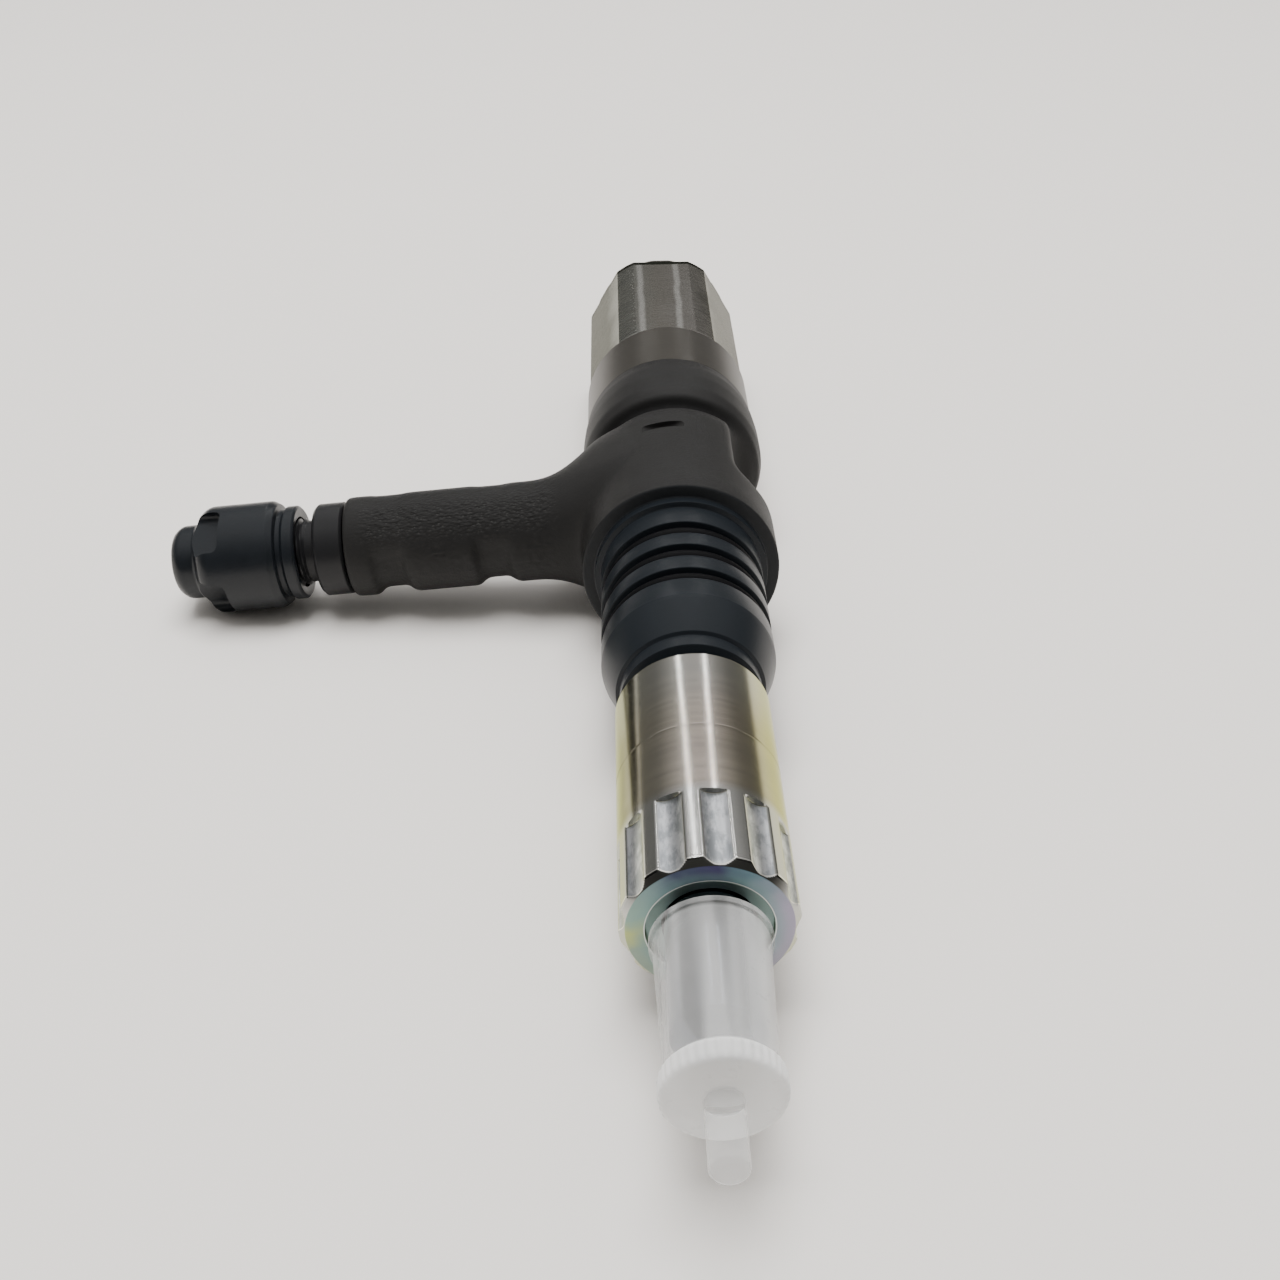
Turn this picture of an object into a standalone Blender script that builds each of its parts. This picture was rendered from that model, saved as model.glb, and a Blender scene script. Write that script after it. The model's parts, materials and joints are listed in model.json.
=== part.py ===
"""Common-rail fuel injector with a side inlet arm, lying on its head and its inlet cap.

Every piece is built in the injector's own frame, in millimetres: +Y runs along the injector's axis from the
retaining nut's sealing face (y = 0) towards the solenoid, the inlet arm points to -X and +Z is up.
Pieces of the inlet are built along the arm's own axis, measured outwards from the injector's axis.
"""

import math

import bmesh
import bpy
from mathutils import Matrix, Vector

MM = 0.001
GAP = 0.3  # clearance between pieces that touch on the real injector

# driving dimensions, mm
BARREL_R = 16.2  # lands of the barrel that enter the cylinder head
COLLAR_R = 20.0
HEAD_R = 20.3
REST_R = 20.3  # the widest round piece on the injector's axis, which the bench carries
NUT_R = 13.75
NUT_LENGTH = 52.0
NUT_FLUTES = 12
SHANK_R = 6.9  # nozzle shank
NOZZLE_TIP_Y = -26.3
SEAT_RECESS_R = 9.7  # recess round the nozzle shank in the nut's sealing face
SPRING_ROOM_R = 5.6
SPRING_ROOM_END = 56.0
PISTON_R = 2.1
COLLAR_Y = 99.0
HEAD_START = 138.0
HEAD_END = 159.2
NECK_R = 17.0
SPIGOT_R = 15.5
SPIGOT_END = 184.0
VALVE_ROOM_R = 9.2
VALVE_ROOM_Y = 149.0
ARMATURE_ROOM_Y = 163.0
CORE_R = 12.2
RING_R = 19.3
RING_END = 178.0
HOUSING_CORNER_R = 18.9
HOUSING_FLATS = 34.8  # across flats
HOUSING_TURN = math.radians(4.7)
HOUSING_END = 226.0
HOUSING_BORE_R = 15.9
HOUSING_MOUTH_R = 11.6
BLOCK_END = 232.0
TERMINAL_SPACING = 11.0
ARM_Y = 121.0  # where the inlet arm's axis crosses the injector's axis
ARM_R = 10.7
ARM_END = 70.3
CLAMP_RECESS_X = 13.0  # the clamp's recess is cut into the forging's side this far from the axis
CLAMP_RECESS_Y = 112.5
INLET_COLLAR_R = 9.9
INLET_THREAD_R = 7.2
INLET_END = 94.7
INLET_CAP_R = 11.5
INLET_CAP_FOOT = 99.8  # the end of the inlet cap's skirt, which meets the bench
INLET_CAP_END = 108.3
NEEDLE_LIFT = 0.3
ARMATURE_LIFT = 0.1
SEALS = ((73.4, 3.6), (81.45, 4.1), (89.65, 4.1))  # centre and width of each seal groove

ROUND = 36  # sides of a large round piece
FINE_ROUND = 20  # sides of a small one

# The injector rests on its head and on the inlet cap's skirt, so it is rolled a little about its own axis.
ROLL = math.asin(REST_R / math.hypot(INLET_CAP_FOOT, INLET_CAP_R)) - math.atan2(INLET_CAP_R, INLET_CAP_FOOT)


# ---------- scene, finishes and frames ----------


def clear_scene():
    for thing in list(bpy.data.objects):
        bpy.data.objects.remove(thing)


def finish(name, colour, roughness, metallic, alpha=1.0):
    """A Principled material of one colour."""
    made = bpy.data.materials.new(name)
    made.use_nodes = True
    shader = made.node_tree.nodes["Principled BSDF"]
    shader.inputs["Base Color"].default_value = (*colour, 1.0)
    shader.inputs["Roughness"].default_value = roughness
    shader.inputs["Metallic"].default_value = metallic
    shader.inputs["Alpha"].default_value = alpha
    return made


def make_finishes():
    return {
        "forging": finish("phosphated_forging", (0.045, 0.043, 0.042), 0.55, 0.6),
        "zinc": finish("zinc_plated_steel", (0.62, 0.60, 0.56), 0.3, 1.0),
        "bright": finish("ground_steel", (0.55, 0.55, 0.56), 0.22, 1.0),
        "hard": finish("hardened_steel", (0.30, 0.30, 0.32), 0.3, 1.0),
        "spring": finish("spring_steel", (0.25, 0.25, 0.27), 0.35, 1.0),
        "band": finish("annealed_steel", (0.13, 0.115, 0.095), 0.42, 0.8),
        "copper": finish("copper_winding", (0.60, 0.25, 0.10), 0.35, 1.0),
        "brass": finish("brass_terminal", (0.70, 0.52, 0.22), 0.3, 1.0),
        "rubber": finish("seal_rubber", (0.012, 0.012, 0.013), 0.6, 0.0),
        "plastic": finish("black_plastic", (0.02, 0.02, 0.022), 0.35, 0.0),
        "clear": finish("clear_plastic", (0.85, 0.86, 0.86), 0.3, 0.0, 0.45),
    }


def frame(name, location, rotation, parent=None):
    """An empty that carries pieces. Its own location is in millimetres."""
    empty = bpy.data.objects.new(name, None)
    bpy.context.scene.collection.objects.link(empty)
    empty.location = Vector(location) * MM
    empty.rotation_euler = rotation
    empty.parent = parent
    return empty


# ---------- shapes ----------


def piece(name, mesh_data, material, parent):
    """Turns a bmesh in millimetres into a named object, smooth on its round sides."""
    bmesh.ops.remove_doubles(mesh_data, verts=mesh_data.verts, dist=1e-4)
    bmesh.ops.recalc_face_normals(mesh_data, faces=mesh_data.faces)
    bmesh.ops.scale(mesh_data, vec=(MM, MM, MM), verts=mesh_data.verts)
    mesh = bpy.data.meshes.new(name)
    mesh_data.to_mesh(mesh)
    mesh_data.free()
    mesh.materials.append(material)
    mesh.shade_smooth()
    mesh.set_sharp_from_angle(angle=math.radians(32))
    made = bpy.data.objects.new(name, mesh)
    bpy.context.scene.collection.objects.link(made)
    made.parent = parent
    return made


def turned(name, outline, material, parent, sides=ROUND):
    """A turned piece about Y. The outline lists (radius, y), and it is closed unless it starts on the axis."""
    shape = bmesh.new()
    points = [shape.verts.new((radius, y, 0.0)) for radius, y in outline]
    pairs = list(zip(points, points[1:]))
    if outline[0][0] > 0.0:
        pairs.append((points[-1], points[0]))
    edges = [shape.edges.new(pair) for pair in pairs]
    bmesh.ops.spin(
        shape, geom=points + edges, cent=(0, 0, 0), axis=(0, 1, 0), angle=math.tau, steps=sides, use_merge=True
    )
    return piece(name, shape, material, parent)


def ring_outline(inner, outer, start, end):
    return [(inner, start), (outer, start), (outer, end), (inner, end)]


def prism(name, corners, start, end, chamfer, material, parent):
    """A prism along Y from (x, z) corners, its two ends drawn in by the chamfer."""
    shape = bmesh.new()
    reach = max(math.hypot(x, z) for x, z in corners)
    drawn_in = 1.0 - chamfer / reach
    stations = [(start, drawn_in), (start + chamfer, 1.0), (end - chamfer, 1.0), (end, drawn_in)]
    rings = [[shape.verts.new((x * k, y, z * k)) for x, z in corners] for y, k in stations]
    loft(shape, rings)
    return piece(name, shape, material, parent)


def loft(shape, rings):
    """Joins rings of equal count with faces and closes both ends."""
    count = len(rings[0])
    for near, far in zip(rings, rings[1:]):
        for i in range(count):
            after = (i + 1) % count
            shape.faces.new((near[i], near[after], far[after], far[i]))
    shape.faces.new(rings[0])
    shape.faces.new(rings[-1])


def torus_outline(centre_r, y, wire_r, sides=6):
    """The round section of a seal ring."""
    turns = [math.tau * k / sides for k in range(sides)]
    return [(centre_r + wire_r * math.cos(a), y + wire_r * math.sin(a)) for a in turns]


def coil_spring(name, coil_r, wire_r, start, end, turns, material, parent):
    """A round-wire compression spring along Y, as a bevelled curve with filled ends."""
    per_turn = 8
    count = turns * per_turn
    curve = bpy.data.curves.new(name, "CURVE")
    curve.dimensions = "3D"
    curve.bevel_depth = wire_r * MM
    curve.bevel_resolution = 1
    curve.use_fill_caps = True
    line = curve.splines.new("POLY")
    line.points.add(count)
    for k, point in enumerate(line.points):
        angle = math.tau * k / per_turn
        y = start + wire_r + (end - start - 2 * wire_r) * k / count
        point.co = (coil_r * math.cos(angle) * MM, y * MM, coil_r * math.sin(angle) * MM, 1.0)
    curve.materials.append(material)
    made = bpy.data.objects.new(name, curve)
    bpy.context.scene.collection.objects.link(made)
    made.parent = parent
    return made


def boolean(target, helper, operation):
    """Adds or cuts with a helper, which stays in the scene as a wire guide."""
    change = target.modifiers.new(helper.name, "BOOLEAN")
    change.operation = operation
    change.solver = "EXACT"
    change.object = helper
    helper.hide_render = True
    helper.display_type = "WIRE"


def cross_cylinders(name, places, radius, start, end, sides, material, parent):
    """Several equal cylinders along Y, whose axes pass through the (x, z) places, as one guide."""
    shape = bmesh.new()
    for x, z in places:
        turns = [math.tau * (k + 0.5) / sides for k in range(sides)]
        corners = [(x + radius * math.cos(a), z + radius * math.sin(a)) for a in turns]
        loft(shape, [[shape.verts.new((cx, y, cz)) for cx, cz in corners] for y in (start, end)])
    return piece(name, shape, material, parent)


def around(count, radius, first=0.0):
    """Places spaced evenly round the axis, from the top and clockwise as seen from the nozzle."""
    turns = [first + math.tau * k / count for k in range(count)]
    return [(radius * math.sin(a), radius * math.cos(a)) for a in turns]


# ---------- nozzle end ----------


def make_retaining_nut(material, parent):
    outline = [
        (SHANK_R + GAP, 1.2), (SEAT_RECESS_R, 1.2), (SEAT_RECESS_R, 0.0), (12.7, 0.0), (NUT_R, 1.05),
        (NUT_R, NUT_LENGTH - 0.6), (NUT_R - 0.6, NUT_LENGTH), (11.3, NUT_LENGTH), (11.3, 26.4),
        (9.2, 26.4), (9.2, 7.0), (SHANK_R + GAP, 7.0),
    ]
    nut = turned("nozzle_retaining_nut", outline, material, parent)
    cutter_r = 3.9
    centres = around(NUT_FLUTES, NUT_R - 0.9 + cutter_r, math.radians(10))
    flutes = cross_cylinders("nut_flute_cutters", centres, cutter_r, -1.0, 16.0, 12, material, parent)
    boolean(nut, flutes, "DIFFERENCE")


def make_nozzle(finishes, parent):
    body_outline = [
        (0.0, NOZZLE_TIP_Y), (1.2, NOZZLE_TIP_Y + 0.4), (1.9, -24.9), (4.4, -22.7), (SHANK_R, -20.4),
        (SHANK_R, 7.3), (8.9, 7.3), (8.9, 20.0), (3.4, 20.0), (3.4, -2.0), (2.3, -4.0),
        (2.3, -21.5), (1.1, -23.6), (0.0, -23.8),
    ]
    body = turned("nozzle_body", body_outline, finishes["hard"], parent, sides=FINE_ROUND)
    needle_outline = [
        (0.0, -23.3), (0.7, -23.0), (1.7, -20.9), (1.7, -3.2), (3.0, -1.4), (3.0, 19.4),
        (1.5, 20.2), (1.5, 23.7), (0.0, 23.7),
    ]
    turned("nozzle_needle", needle_outline, finishes["bright"], parent, sides=FINE_ROUND)
    plate_outline = ring_outline(2.3, 8.9, 20.3, 26.0)
    plate = turned("distance_piece", plate_outline, finishes["hard"], parent, sides=FINE_ROUND)
    places = [(-6.4, 0.0), (6.4, 0.0)]
    holes = cross_cylinders("pin_hole_cutters", places, 1.2, 16.9, 27.0, 12, finishes["hard"], parent)
    boolean(plate, holes, "DIFFERENCE")
    boolean(body, holes, "DIFFERENCE")
    for name, place in zip(("locating_pin_left", "locating_pin_right"), places):
        cross_cylinders(name, [place], 0.85, 17.3, 25.7, 12, finishes["bright"], parent)


def make_needle_stack(finishes, parent):
    pin_outline = [
        (0.0, 24.0), (1.7, 24.0), (1.7, 28.0), (4.9, 28.0), (4.9, 30.0), (2.1, 30.0), (2.1, 33.0), (0.0, 33.0),
    ]
    turned("pressure_pin", pin_outline, finishes["hard"], parent, sides=FINE_ROUND)
    coil_spring("nozzle_spring", 3.7, 0.72, 30.4, 53.8, 7, finishes["spring"], parent)
    turned("spring_shim", ring_outline(2.7, 5.2, 54.1, 55.7), finishes["bright"], parent, sides=FINE_ROUND)
    piston_outline = [
        (0.0, 33.3), (1.8, 33.3), (PISTON_R, 33.6), (PISTON_R, 148.0), (1.5, 148.4), (0.0, 148.4),
    ]
    turned("command_piston", piston_outline, finishes["bright"], parent, sides=FINE_ROUND)


def make_nozzle_cap(material, parent):
    outline = [
        (0.0, -42.2), (2.3, -42.2), (2.8, -41.7), (2.8, -31.0), (8.5, -31.0), (8.9, -30.6), (8.9, -28.0),
        (8.5, -27.6), (7.9, -27.6), (8.8, -3.5), (9.34, -3.4), (9.34, -2.3), (7.95, -2.3), (7.05, -26.8),
        (0.0, -26.8),
    ]
    turned("nozzle_protective_cap", outline, material, parent, sides=32)


# ---------- body ----------


def barrel_outline():
    """The turned part of the body with its bores, from the nose to the solenoid's spigot."""
    outline = [
        (SPRING_ROOM_R, 26.7), (9.0, 26.7), (9.0, 30.2), (11.0, 31.0), (11.0, 54.8), (13.0, 55.2),
        (13.0, 58.3), (13.9, 58.5), (BARREL_R - 0.1, 65.6),
    ]
    for centre, width in SEALS:
        floor = 15.8 - 2 * seal_wire_r(width) - GAP
        low, high = centre - width / 2, centre + width / 2
        outline += [(BARREL_R, low), (floor, low), (floor, high), (BARREL_R, high)]
    outline += [
        (BARREL_R + 0.05, 97.2), (17.5, 97.3), (17.5, COLLAR_Y), (COLLAR_R - 0.2, COLLAR_Y),
        (COLLAR_R, COLLAR_Y + 0.3), (COLLAR_R, 132.0), (NECK_R, 136.5), (NECK_R, HEAD_START + 0.2),
        (HEAD_R - 1.6, HEAD_START + 0.3), (HEAD_R - 0.4, HEAD_START + 1.2), (HEAD_R, HEAD_START + 2.6),
        (HEAD_R, 150.0), (20.0, 155.0), (19.4, HEAD_END), (SPIGOT_R, HEAD_END), (SPIGOT_R, SPIGOT_END),
        (CORE_R + 0.4, SPIGOT_END),
        (CORE_R + 0.4, ARMATURE_ROOM_Y), (VALVE_ROOM_R, ARMATURE_ROOM_Y), (VALVE_ROOM_R, VALVE_ROOM_Y),
        (PISTON_R + 0.5, VALVE_ROOM_Y), (PISTON_R + 0.5, SPRING_ROOM_END), (SPRING_ROOM_R, SPRING_ROOM_END),
    ]
    return outline


def seal_wire_r(groove_width):
    return (groove_width - 0.75) / 2


def smooth(low, high, value):
    """0 below low, 1 above high, and an even curve between."""
    k = min(1.0, max(0.0, (value - low) / (high - low)))
    return k * k * (3.0 - 2.0 * k)


def arm_relief(along):
    """How far the forging's shallow bands draw in its near, lower side."""
    first = smooth(34.9, 36.4, along) - smooth(41.9, 43.4, along)
    second = smooth(57.0, 58.5, along) - smooth(64.1, 65.6, along)
    return 1.2 * (first + second)


def arm_section(along, sides):
    """One section of the forging across the arm, as (x, z) about the arm's axis. It swells towards its root."""
    half_width = ARM_R + 3.3 * (1.0 - smooth(14.0, 30.0, along))
    half_height = ARM_R + 4.5 * (1.0 - smooth(14.0, 32.0, along))
    corners = []
    for k in range(sides):
        angle = math.tau * k / sides
        near_low = max(0.0, math.cos(angle - math.radians(235)))
        draw = 1.0 - arm_relief(along) * min(1.0, 1.6 * near_low) / ARM_R
        corners.append((math.cos(angle) * half_width * draw, math.sin(angle) * half_height * draw))
    return corners


def clamp_recess(material, parent):
    """The cutter of the recess beside the neck, upright, with its front inner corner eased."""
    plan = [
        (CLAMP_RECESS_X, CLAMP_RECESS_Y + 3.0), (CLAMP_RECESS_X + 0.9, CLAMP_RECESS_Y + 0.9),
        (CLAMP_RECESS_X + 3.0, CLAMP_RECESS_Y), (26.0, CLAMP_RECESS_Y), (26.0, HEAD_START + 0.1),
        (CLAMP_RECESS_X, HEAD_START + 0.1),
    ]
    shape = bmesh.new()
    loft(shape, [[shape.verts.new((x, y, z)) for x, y in plan] for z in (-22.0, 22.0)])
    return piece("clamp_recess_cutter", shape, material, parent)


def make_body(material, parent, inlet):
    body = turned("injector_body", barrel_outline(), material, parent, sides=36)
    shape = bmesh.new()
    stations = [6.0, 14.0, 18.0, 22.0, 26.0, 31.0, 34.9, 36.4, 41.9, 43.4, 57.0, 58.5, 64.1, 65.6, 69.6, ARM_END]
    rings = []
    for along in stations:
        edge = 0.96 if along == ARM_END else 1.0
        rings.append([shape.verts.new((x * edge, along, z * edge)) for x, z in arm_section(along, 20)])
    loft(shape, rings)
    forging = piece("arm_guide", shape, material, inlet)
    boolean(body, forging, "UNION")
    boolean(body, clamp_recess(material, parent), "DIFFERENCE")
    passage = [(0.0, 1.0), (1.2, 1.0), (1.2, 54.3), (6.4, 54.7), (6.4, 80.0), (0.0, 80.0)]
    boolean(body, turned("inlet_bore_cutter", passage, material, inlet, sides=FINE_ROUND), "DIFFERENCE")
    notch_r = 9.0
    notch = turned("neck_notch_cutter", [(0.0, 124.6), (notch_r, 124.6), (notch_r, 126.6), (0.0, 126.6)],
                   material, parent, sides=32)
    notch.location = Vector((-1.6, 0.0, COLLAR_R + notch_r - 1.4)) * MM
    boolean(body, notch, "DIFFERENCE")


def make_seals(material, parent):
    names = ("barrel_seal_lower", "barrel_seal_middle", "barrel_seal_upper")
    for name, (centre, width) in zip(names, SEALS):
        wire_r = seal_wire_r(width)
        turned(name, torus_outline(15.8 - wire_r, centre, wire_r), material, parent, sides=24)


# ---------- control valve ----------


def make_control_valve(finishes, parent):
    turned("orifice_plate", ring_outline(0.5, 8.8, 149.3, 153.0), finishes["bright"], parent, sides=24)
    body_outline = [
        (2.1, 153.3), (8.8, 153.3), (8.8, 160.6), (5.2, 160.6), (5.2, 158.6), (2.1, 158.6),
    ]
    turned("valve_body", body_outline, finishes["hard"], parent, sides=24)
    turned("valve_retaining_ring", ring_outline(5.6, 8.8, 160.9, 163.0), finishes["hard"], parent, sides=24)
    ball_r = 1.5
    arc = [math.pi * (k / 8 - 0.5) for k in range(9)]
    ball = [(ball_r * math.cos(a), 154.9 + ball_r * math.sin(a)) for a in arc]
    ball[0] = (0.0, ball[0][1])
    ball[-1] = (0.0, ball[-1][1])
    turned("valve_ball", ball, finishes["bright"], parent, sides=16)
    armature_outline = [
        (0.0, 156.8), (1.7, 156.8), (1.7, 163.4), (8.4, 163.4), (8.4, 165.8), (0.0, 165.8),
    ]
    armature = turned("armature", armature_outline, finishes["hard"], parent, sides=24)
    vents = cross_cylinders(
        "armature_vent_cutters", around(4, 5.4), 1.1, 162.0, 167.0, 10, finishes["hard"], parent
    )
    boolean(armature, vents, "DIFFERENCE")


def make_solenoid(finishes, parent):
    core_outline = [
        (2.7, 166.4), (6.2, 166.4), (6.2, 178.0), (10.3, 178.0), (10.3, 166.4), (CORE_R, 166.4),
        (CORE_R, 184.3), (15.4, 184.3), (15.4, 187.7), (0.0, 187.7), (0.0, 180.3), (2.7, 180.3),
    ]
    turned("solenoid_core", closed_on_axis(core_outline), finishes["hard"], parent, sides=24)
    turned("solenoid_coil", ring_outline(6.5, 10.0, 166.9, 177.7), finishes["copper"], parent, sides=24)
    coil_spring("valve_spring", 1.75, 0.28, 166.15, 178.0, 6, finishes["spring"], parent)
    shim = [(0.0, 178.3), (2.3, 178.3), (2.3, 180.0), (0.0, 180.0)]
    turned("valve_spring_shim", shim, finishes["bright"], parent, sides=FINE_ROUND)


def closed_on_axis(outline):
    """Starts an outline that touches the axis at its first point there."""
    first = next(k for k, (radius, _) in enumerate(outline) if radius == 0.0)
    return outline[first + 1 :] + outline[: first + 1]


def housing_corners():
    """The housing's section: six flats with the corners left round."""
    half = HOUSING_FLATS / 2
    flat_end = math.acos(half / HOUSING_CORNER_R)
    half_corner = math.radians(30) - flat_end
    corners = []
    for k in range(6):
        middle = HOUSING_TURN + math.radians(60 * k)
        for step in (-flat_end, flat_end, flat_end + 2 * half_corner / 3, flat_end + 4 * half_corner / 3):
            angle = middle + step
            corners.append((HOUSING_CORNER_R * math.sin(angle), HOUSING_CORNER_R * math.cos(angle)))
    return corners


def make_housing(finishes, parent):
    ring = ring_outline(SPIGOT_R + 0.4, RING_R, HEAD_END + GAP, RING_END)
    turned("solenoid_union_ring", ring, finishes["band"], parent, sides=36)
    housing = prism(
        "solenoid_housing", housing_corners(), RING_END + GAP, HOUSING_END, 0.6, finishes["zinc"], parent
    )
    room = [
        (0.0, 170.0), (HOUSING_BORE_R, 170.0), (HOUSING_BORE_R, 216.0), (HOUSING_MOUTH_R, 216.0),
        (HOUSING_MOUTH_R, 230.0), (0.0, 230.0),
    ]
    boolean(housing, turned("housing_room_cutter", room, finishes["zinc"], parent, sides=28), "DIFFERENCE")


def make_terminals(finishes, parent):
    block_outline = [
        (0.0, 188.0), (15.5, 188.0), (15.5, 191.6), (13.3, 191.6), (13.3, 194.6), (15.5, 194.6),
        (15.5, 215.6), (11.2, 215.6), (11.2, BLOCK_END - 0.8), (10.4, BLOCK_END), (0.0, BLOCK_END),
    ]
    block = turned("terminal_block", block_outline, finishes["plastic"], parent, sides=24)
    seal = torus_outline(14.55, 193.1, 0.95)
    turned("housing_seal", seal, finishes["rubber"], parent, sides=24)
    places = [(-TERMINAL_SPACING / 2, 0.0), (TERMINAL_SPACING / 2, 0.0)]
    wells = cross_cylinders("terminal_well_cutters", places, 2.3, 222.0, 234.0, 16, finishes["plastic"], parent)
    boolean(block, wells, "DIFFERENCE")
    nut_corners = [(4.04 * math.sin(math.radians(a)), 4.04 * math.cos(math.radians(a))) for a in range(0, 360, 60)]
    for side, (x, z) in zip(("left", "right"), places):
        centre = frame("terminal_axis_" + side, (x, 0.0, z), (0.0, 0.0, 0.0), parent)
        stud = [(0.0, 222.4), (1.95, 222.4), (1.95, 237.6), (1.6, 238.0), (0.0, 238.0)]
        turned("terminal_stud_" + side, stud, finishes["brass"], centre, sides=16)
        washer = ring_outline(2.3, 4.5, BLOCK_END + GAP, BLOCK_END + 1.0)
        turned("terminal_washer_" + side, washer, finishes["bright"], centre, sides=20)
        low = BLOCK_END + 1.3
        nut = prism("terminal_nut_" + side, nut_corners, low, low + 3.2, 0.3, finishes["zinc"], centre)
        hole = [(0.0, low - 1), (2.3, low - 1), (2.3, low + 5), (0.0, low + 5)]
        boolean(nut, turned("nut_hole_cutter_" + side, hole, finishes["zinc"], centre, sides=16), "DIFFERENCE")


# ---------- inlet ----------


def make_inlet(finishes, inlet):
    seal = ring_outline(3.0, 6.0, 55.1, 56.5)
    turned("inlet_sealing_ring", seal, finishes["copper"], inlet, sides=FINE_ROUND)
    connector = [
        (2.6, 56.8), (6.0, 56.8), (6.0, ARM_END + GAP), (INLET_COLLAR_R - 0.4, ARM_END + GAP),
        (INLET_COLLAR_R, ARM_END + 0.8), (INLET_COLLAR_R, 76.6), (INLET_COLLAR_R - 0.4, 77.0), (6.6, 77.0),
        (6.6, 79.3), (INLET_THREAD_R, 79.9), (INLET_THREAD_R, 94.0), (6.5, INLET_END), (4.6, INLET_END),
        (1.4, 90.3), (1.4, 85.7), (2.6, 85.3),
    ]
    turned("inlet_connector", connector, finishes["forging"], inlet, sides=24)
    bar = [(0.0, 58.7), (1.7, 58.7), (2.2, 59.7), (2.2, 83.7), (1.7, 84.7), (0.0, 84.7)]
    turned("inlet_edge_filter", bar, finishes["bright"], inlet, sides=16)


def make_inlet_cap(material, inlet):
    outline = [
        (7.6, 81.0), (9.6, 80.8), (10.05, 81.2), (10.05, 83.3), (9.7, 83.7), (9.3, 83.7), (9.3, 85.0),
        (10.7, 85.0), (INLET_CAP_R, 86.4), (INLET_CAP_R, INLET_CAP_FOOT), (10.3, 101.5), (8.4, 102.5),
        (7.9, 103.0), (7.9, 106.6), (6.9, 107.9), (5.6, INLET_CAP_END), (0.0, INLET_CAP_END),
        (0.0, 96.6), (7.6, 96.6),
    ]
    cap = turned("inlet_protective_cap", closed_on_axis(outline), material, inlet, sides=32)
    shape = bmesh.new()
    flat, reach, half_width = 8.05, 14.0, 5.2
    for k in range(4):
        middle = math.radians(205 + 90 * k)
        out = Vector((math.cos(middle), 0.0, math.sin(middle)))
        side = Vector((-out.z, 0.0, out.x))
        stations = ((95.0, reach), (96.2, flat + 1.5), (97.8, flat), (103.6, flat))
        low = [shape.verts.new(out * near - side * half_width + Vector((0, y, 0))) for y, near in stations]
        low += [shape.verts.new(out * reach - side * half_width + Vector((0, 103.6, 0)))]
        high = [shape.verts.new(vert.co + side * 2 * half_width) for vert in low]
        loft(shape, [low, high])
    grips = piece("cap_flat_cutters", shape, material, inlet)
    boolean(cap, grips, "DIFFERENCE")


# ---------- assembly ----------


def rest_on_bench(root):
    """Puts the origin under the middle of the whole injector, at bench height."""
    bpy.context.view_layer.update()
    graph = bpy.context.evaluated_depsgraph_get()
    corners = []
    for thing in bpy.data.objects:
        if thing.type in ("MESH", "CURVE") and not thing.hide_render:
            shown = thing.evaluated_get(graph)
            mesh = shown.to_mesh()
            corners += [shown.matrix_world @ vert.co for vert in mesh.vertices]
            shown.to_mesh_clear()
    low = Vector([min(corner[k] for corner in corners) for k in range(3)])
    high = Vector([max(corner[k] for corner in corners) for k in range(3)])
    root.location -= Vector(((low.x + high.x) / 2, (low.y + high.y) / 2, low.z))
    bpy.context.view_layer.update()


def main():
    clear_scene()
    finishes = make_finishes()
    root = frame("injector_axis", (0, 0, 0), (0.0, -ROLL, 0.0))
    inlet = frame("inlet_axis", (0.0, ARM_Y, 0.0), (0.0, 0.0, math.radians(90)), root)
    make_body(finishes["forging"], root, inlet)
    make_seals(finishes["rubber"], root)
    make_retaining_nut(finishes["zinc"], root)
    make_nozzle(finishes, root)
    make_needle_stack(finishes, root)
    make_nozzle_cap(finishes["clear"], root)
    make_control_valve(finishes, root)
    make_solenoid(finishes, root)
    make_housing(finishes, root)
    make_terminals(finishes, root)
    make_inlet(finishes, inlet)
    make_inlet_cap(finishes["plastic"], inlet)
    rest_on_bench(root)


main()
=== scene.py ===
"""Looks of the fuel injector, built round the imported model.

Turned pieces are drawn as an outline of (radius, y) points in millimetres and spun about Y. The injector's
own frame has y = 0 at the retaining nut's sealing face and +Y towards the solenoid. Pieces of the inlet are
drawn in the arm's own frame, whose +Y points outwards along the arm. finish_piece moves each to its place.
"""

import math

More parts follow.
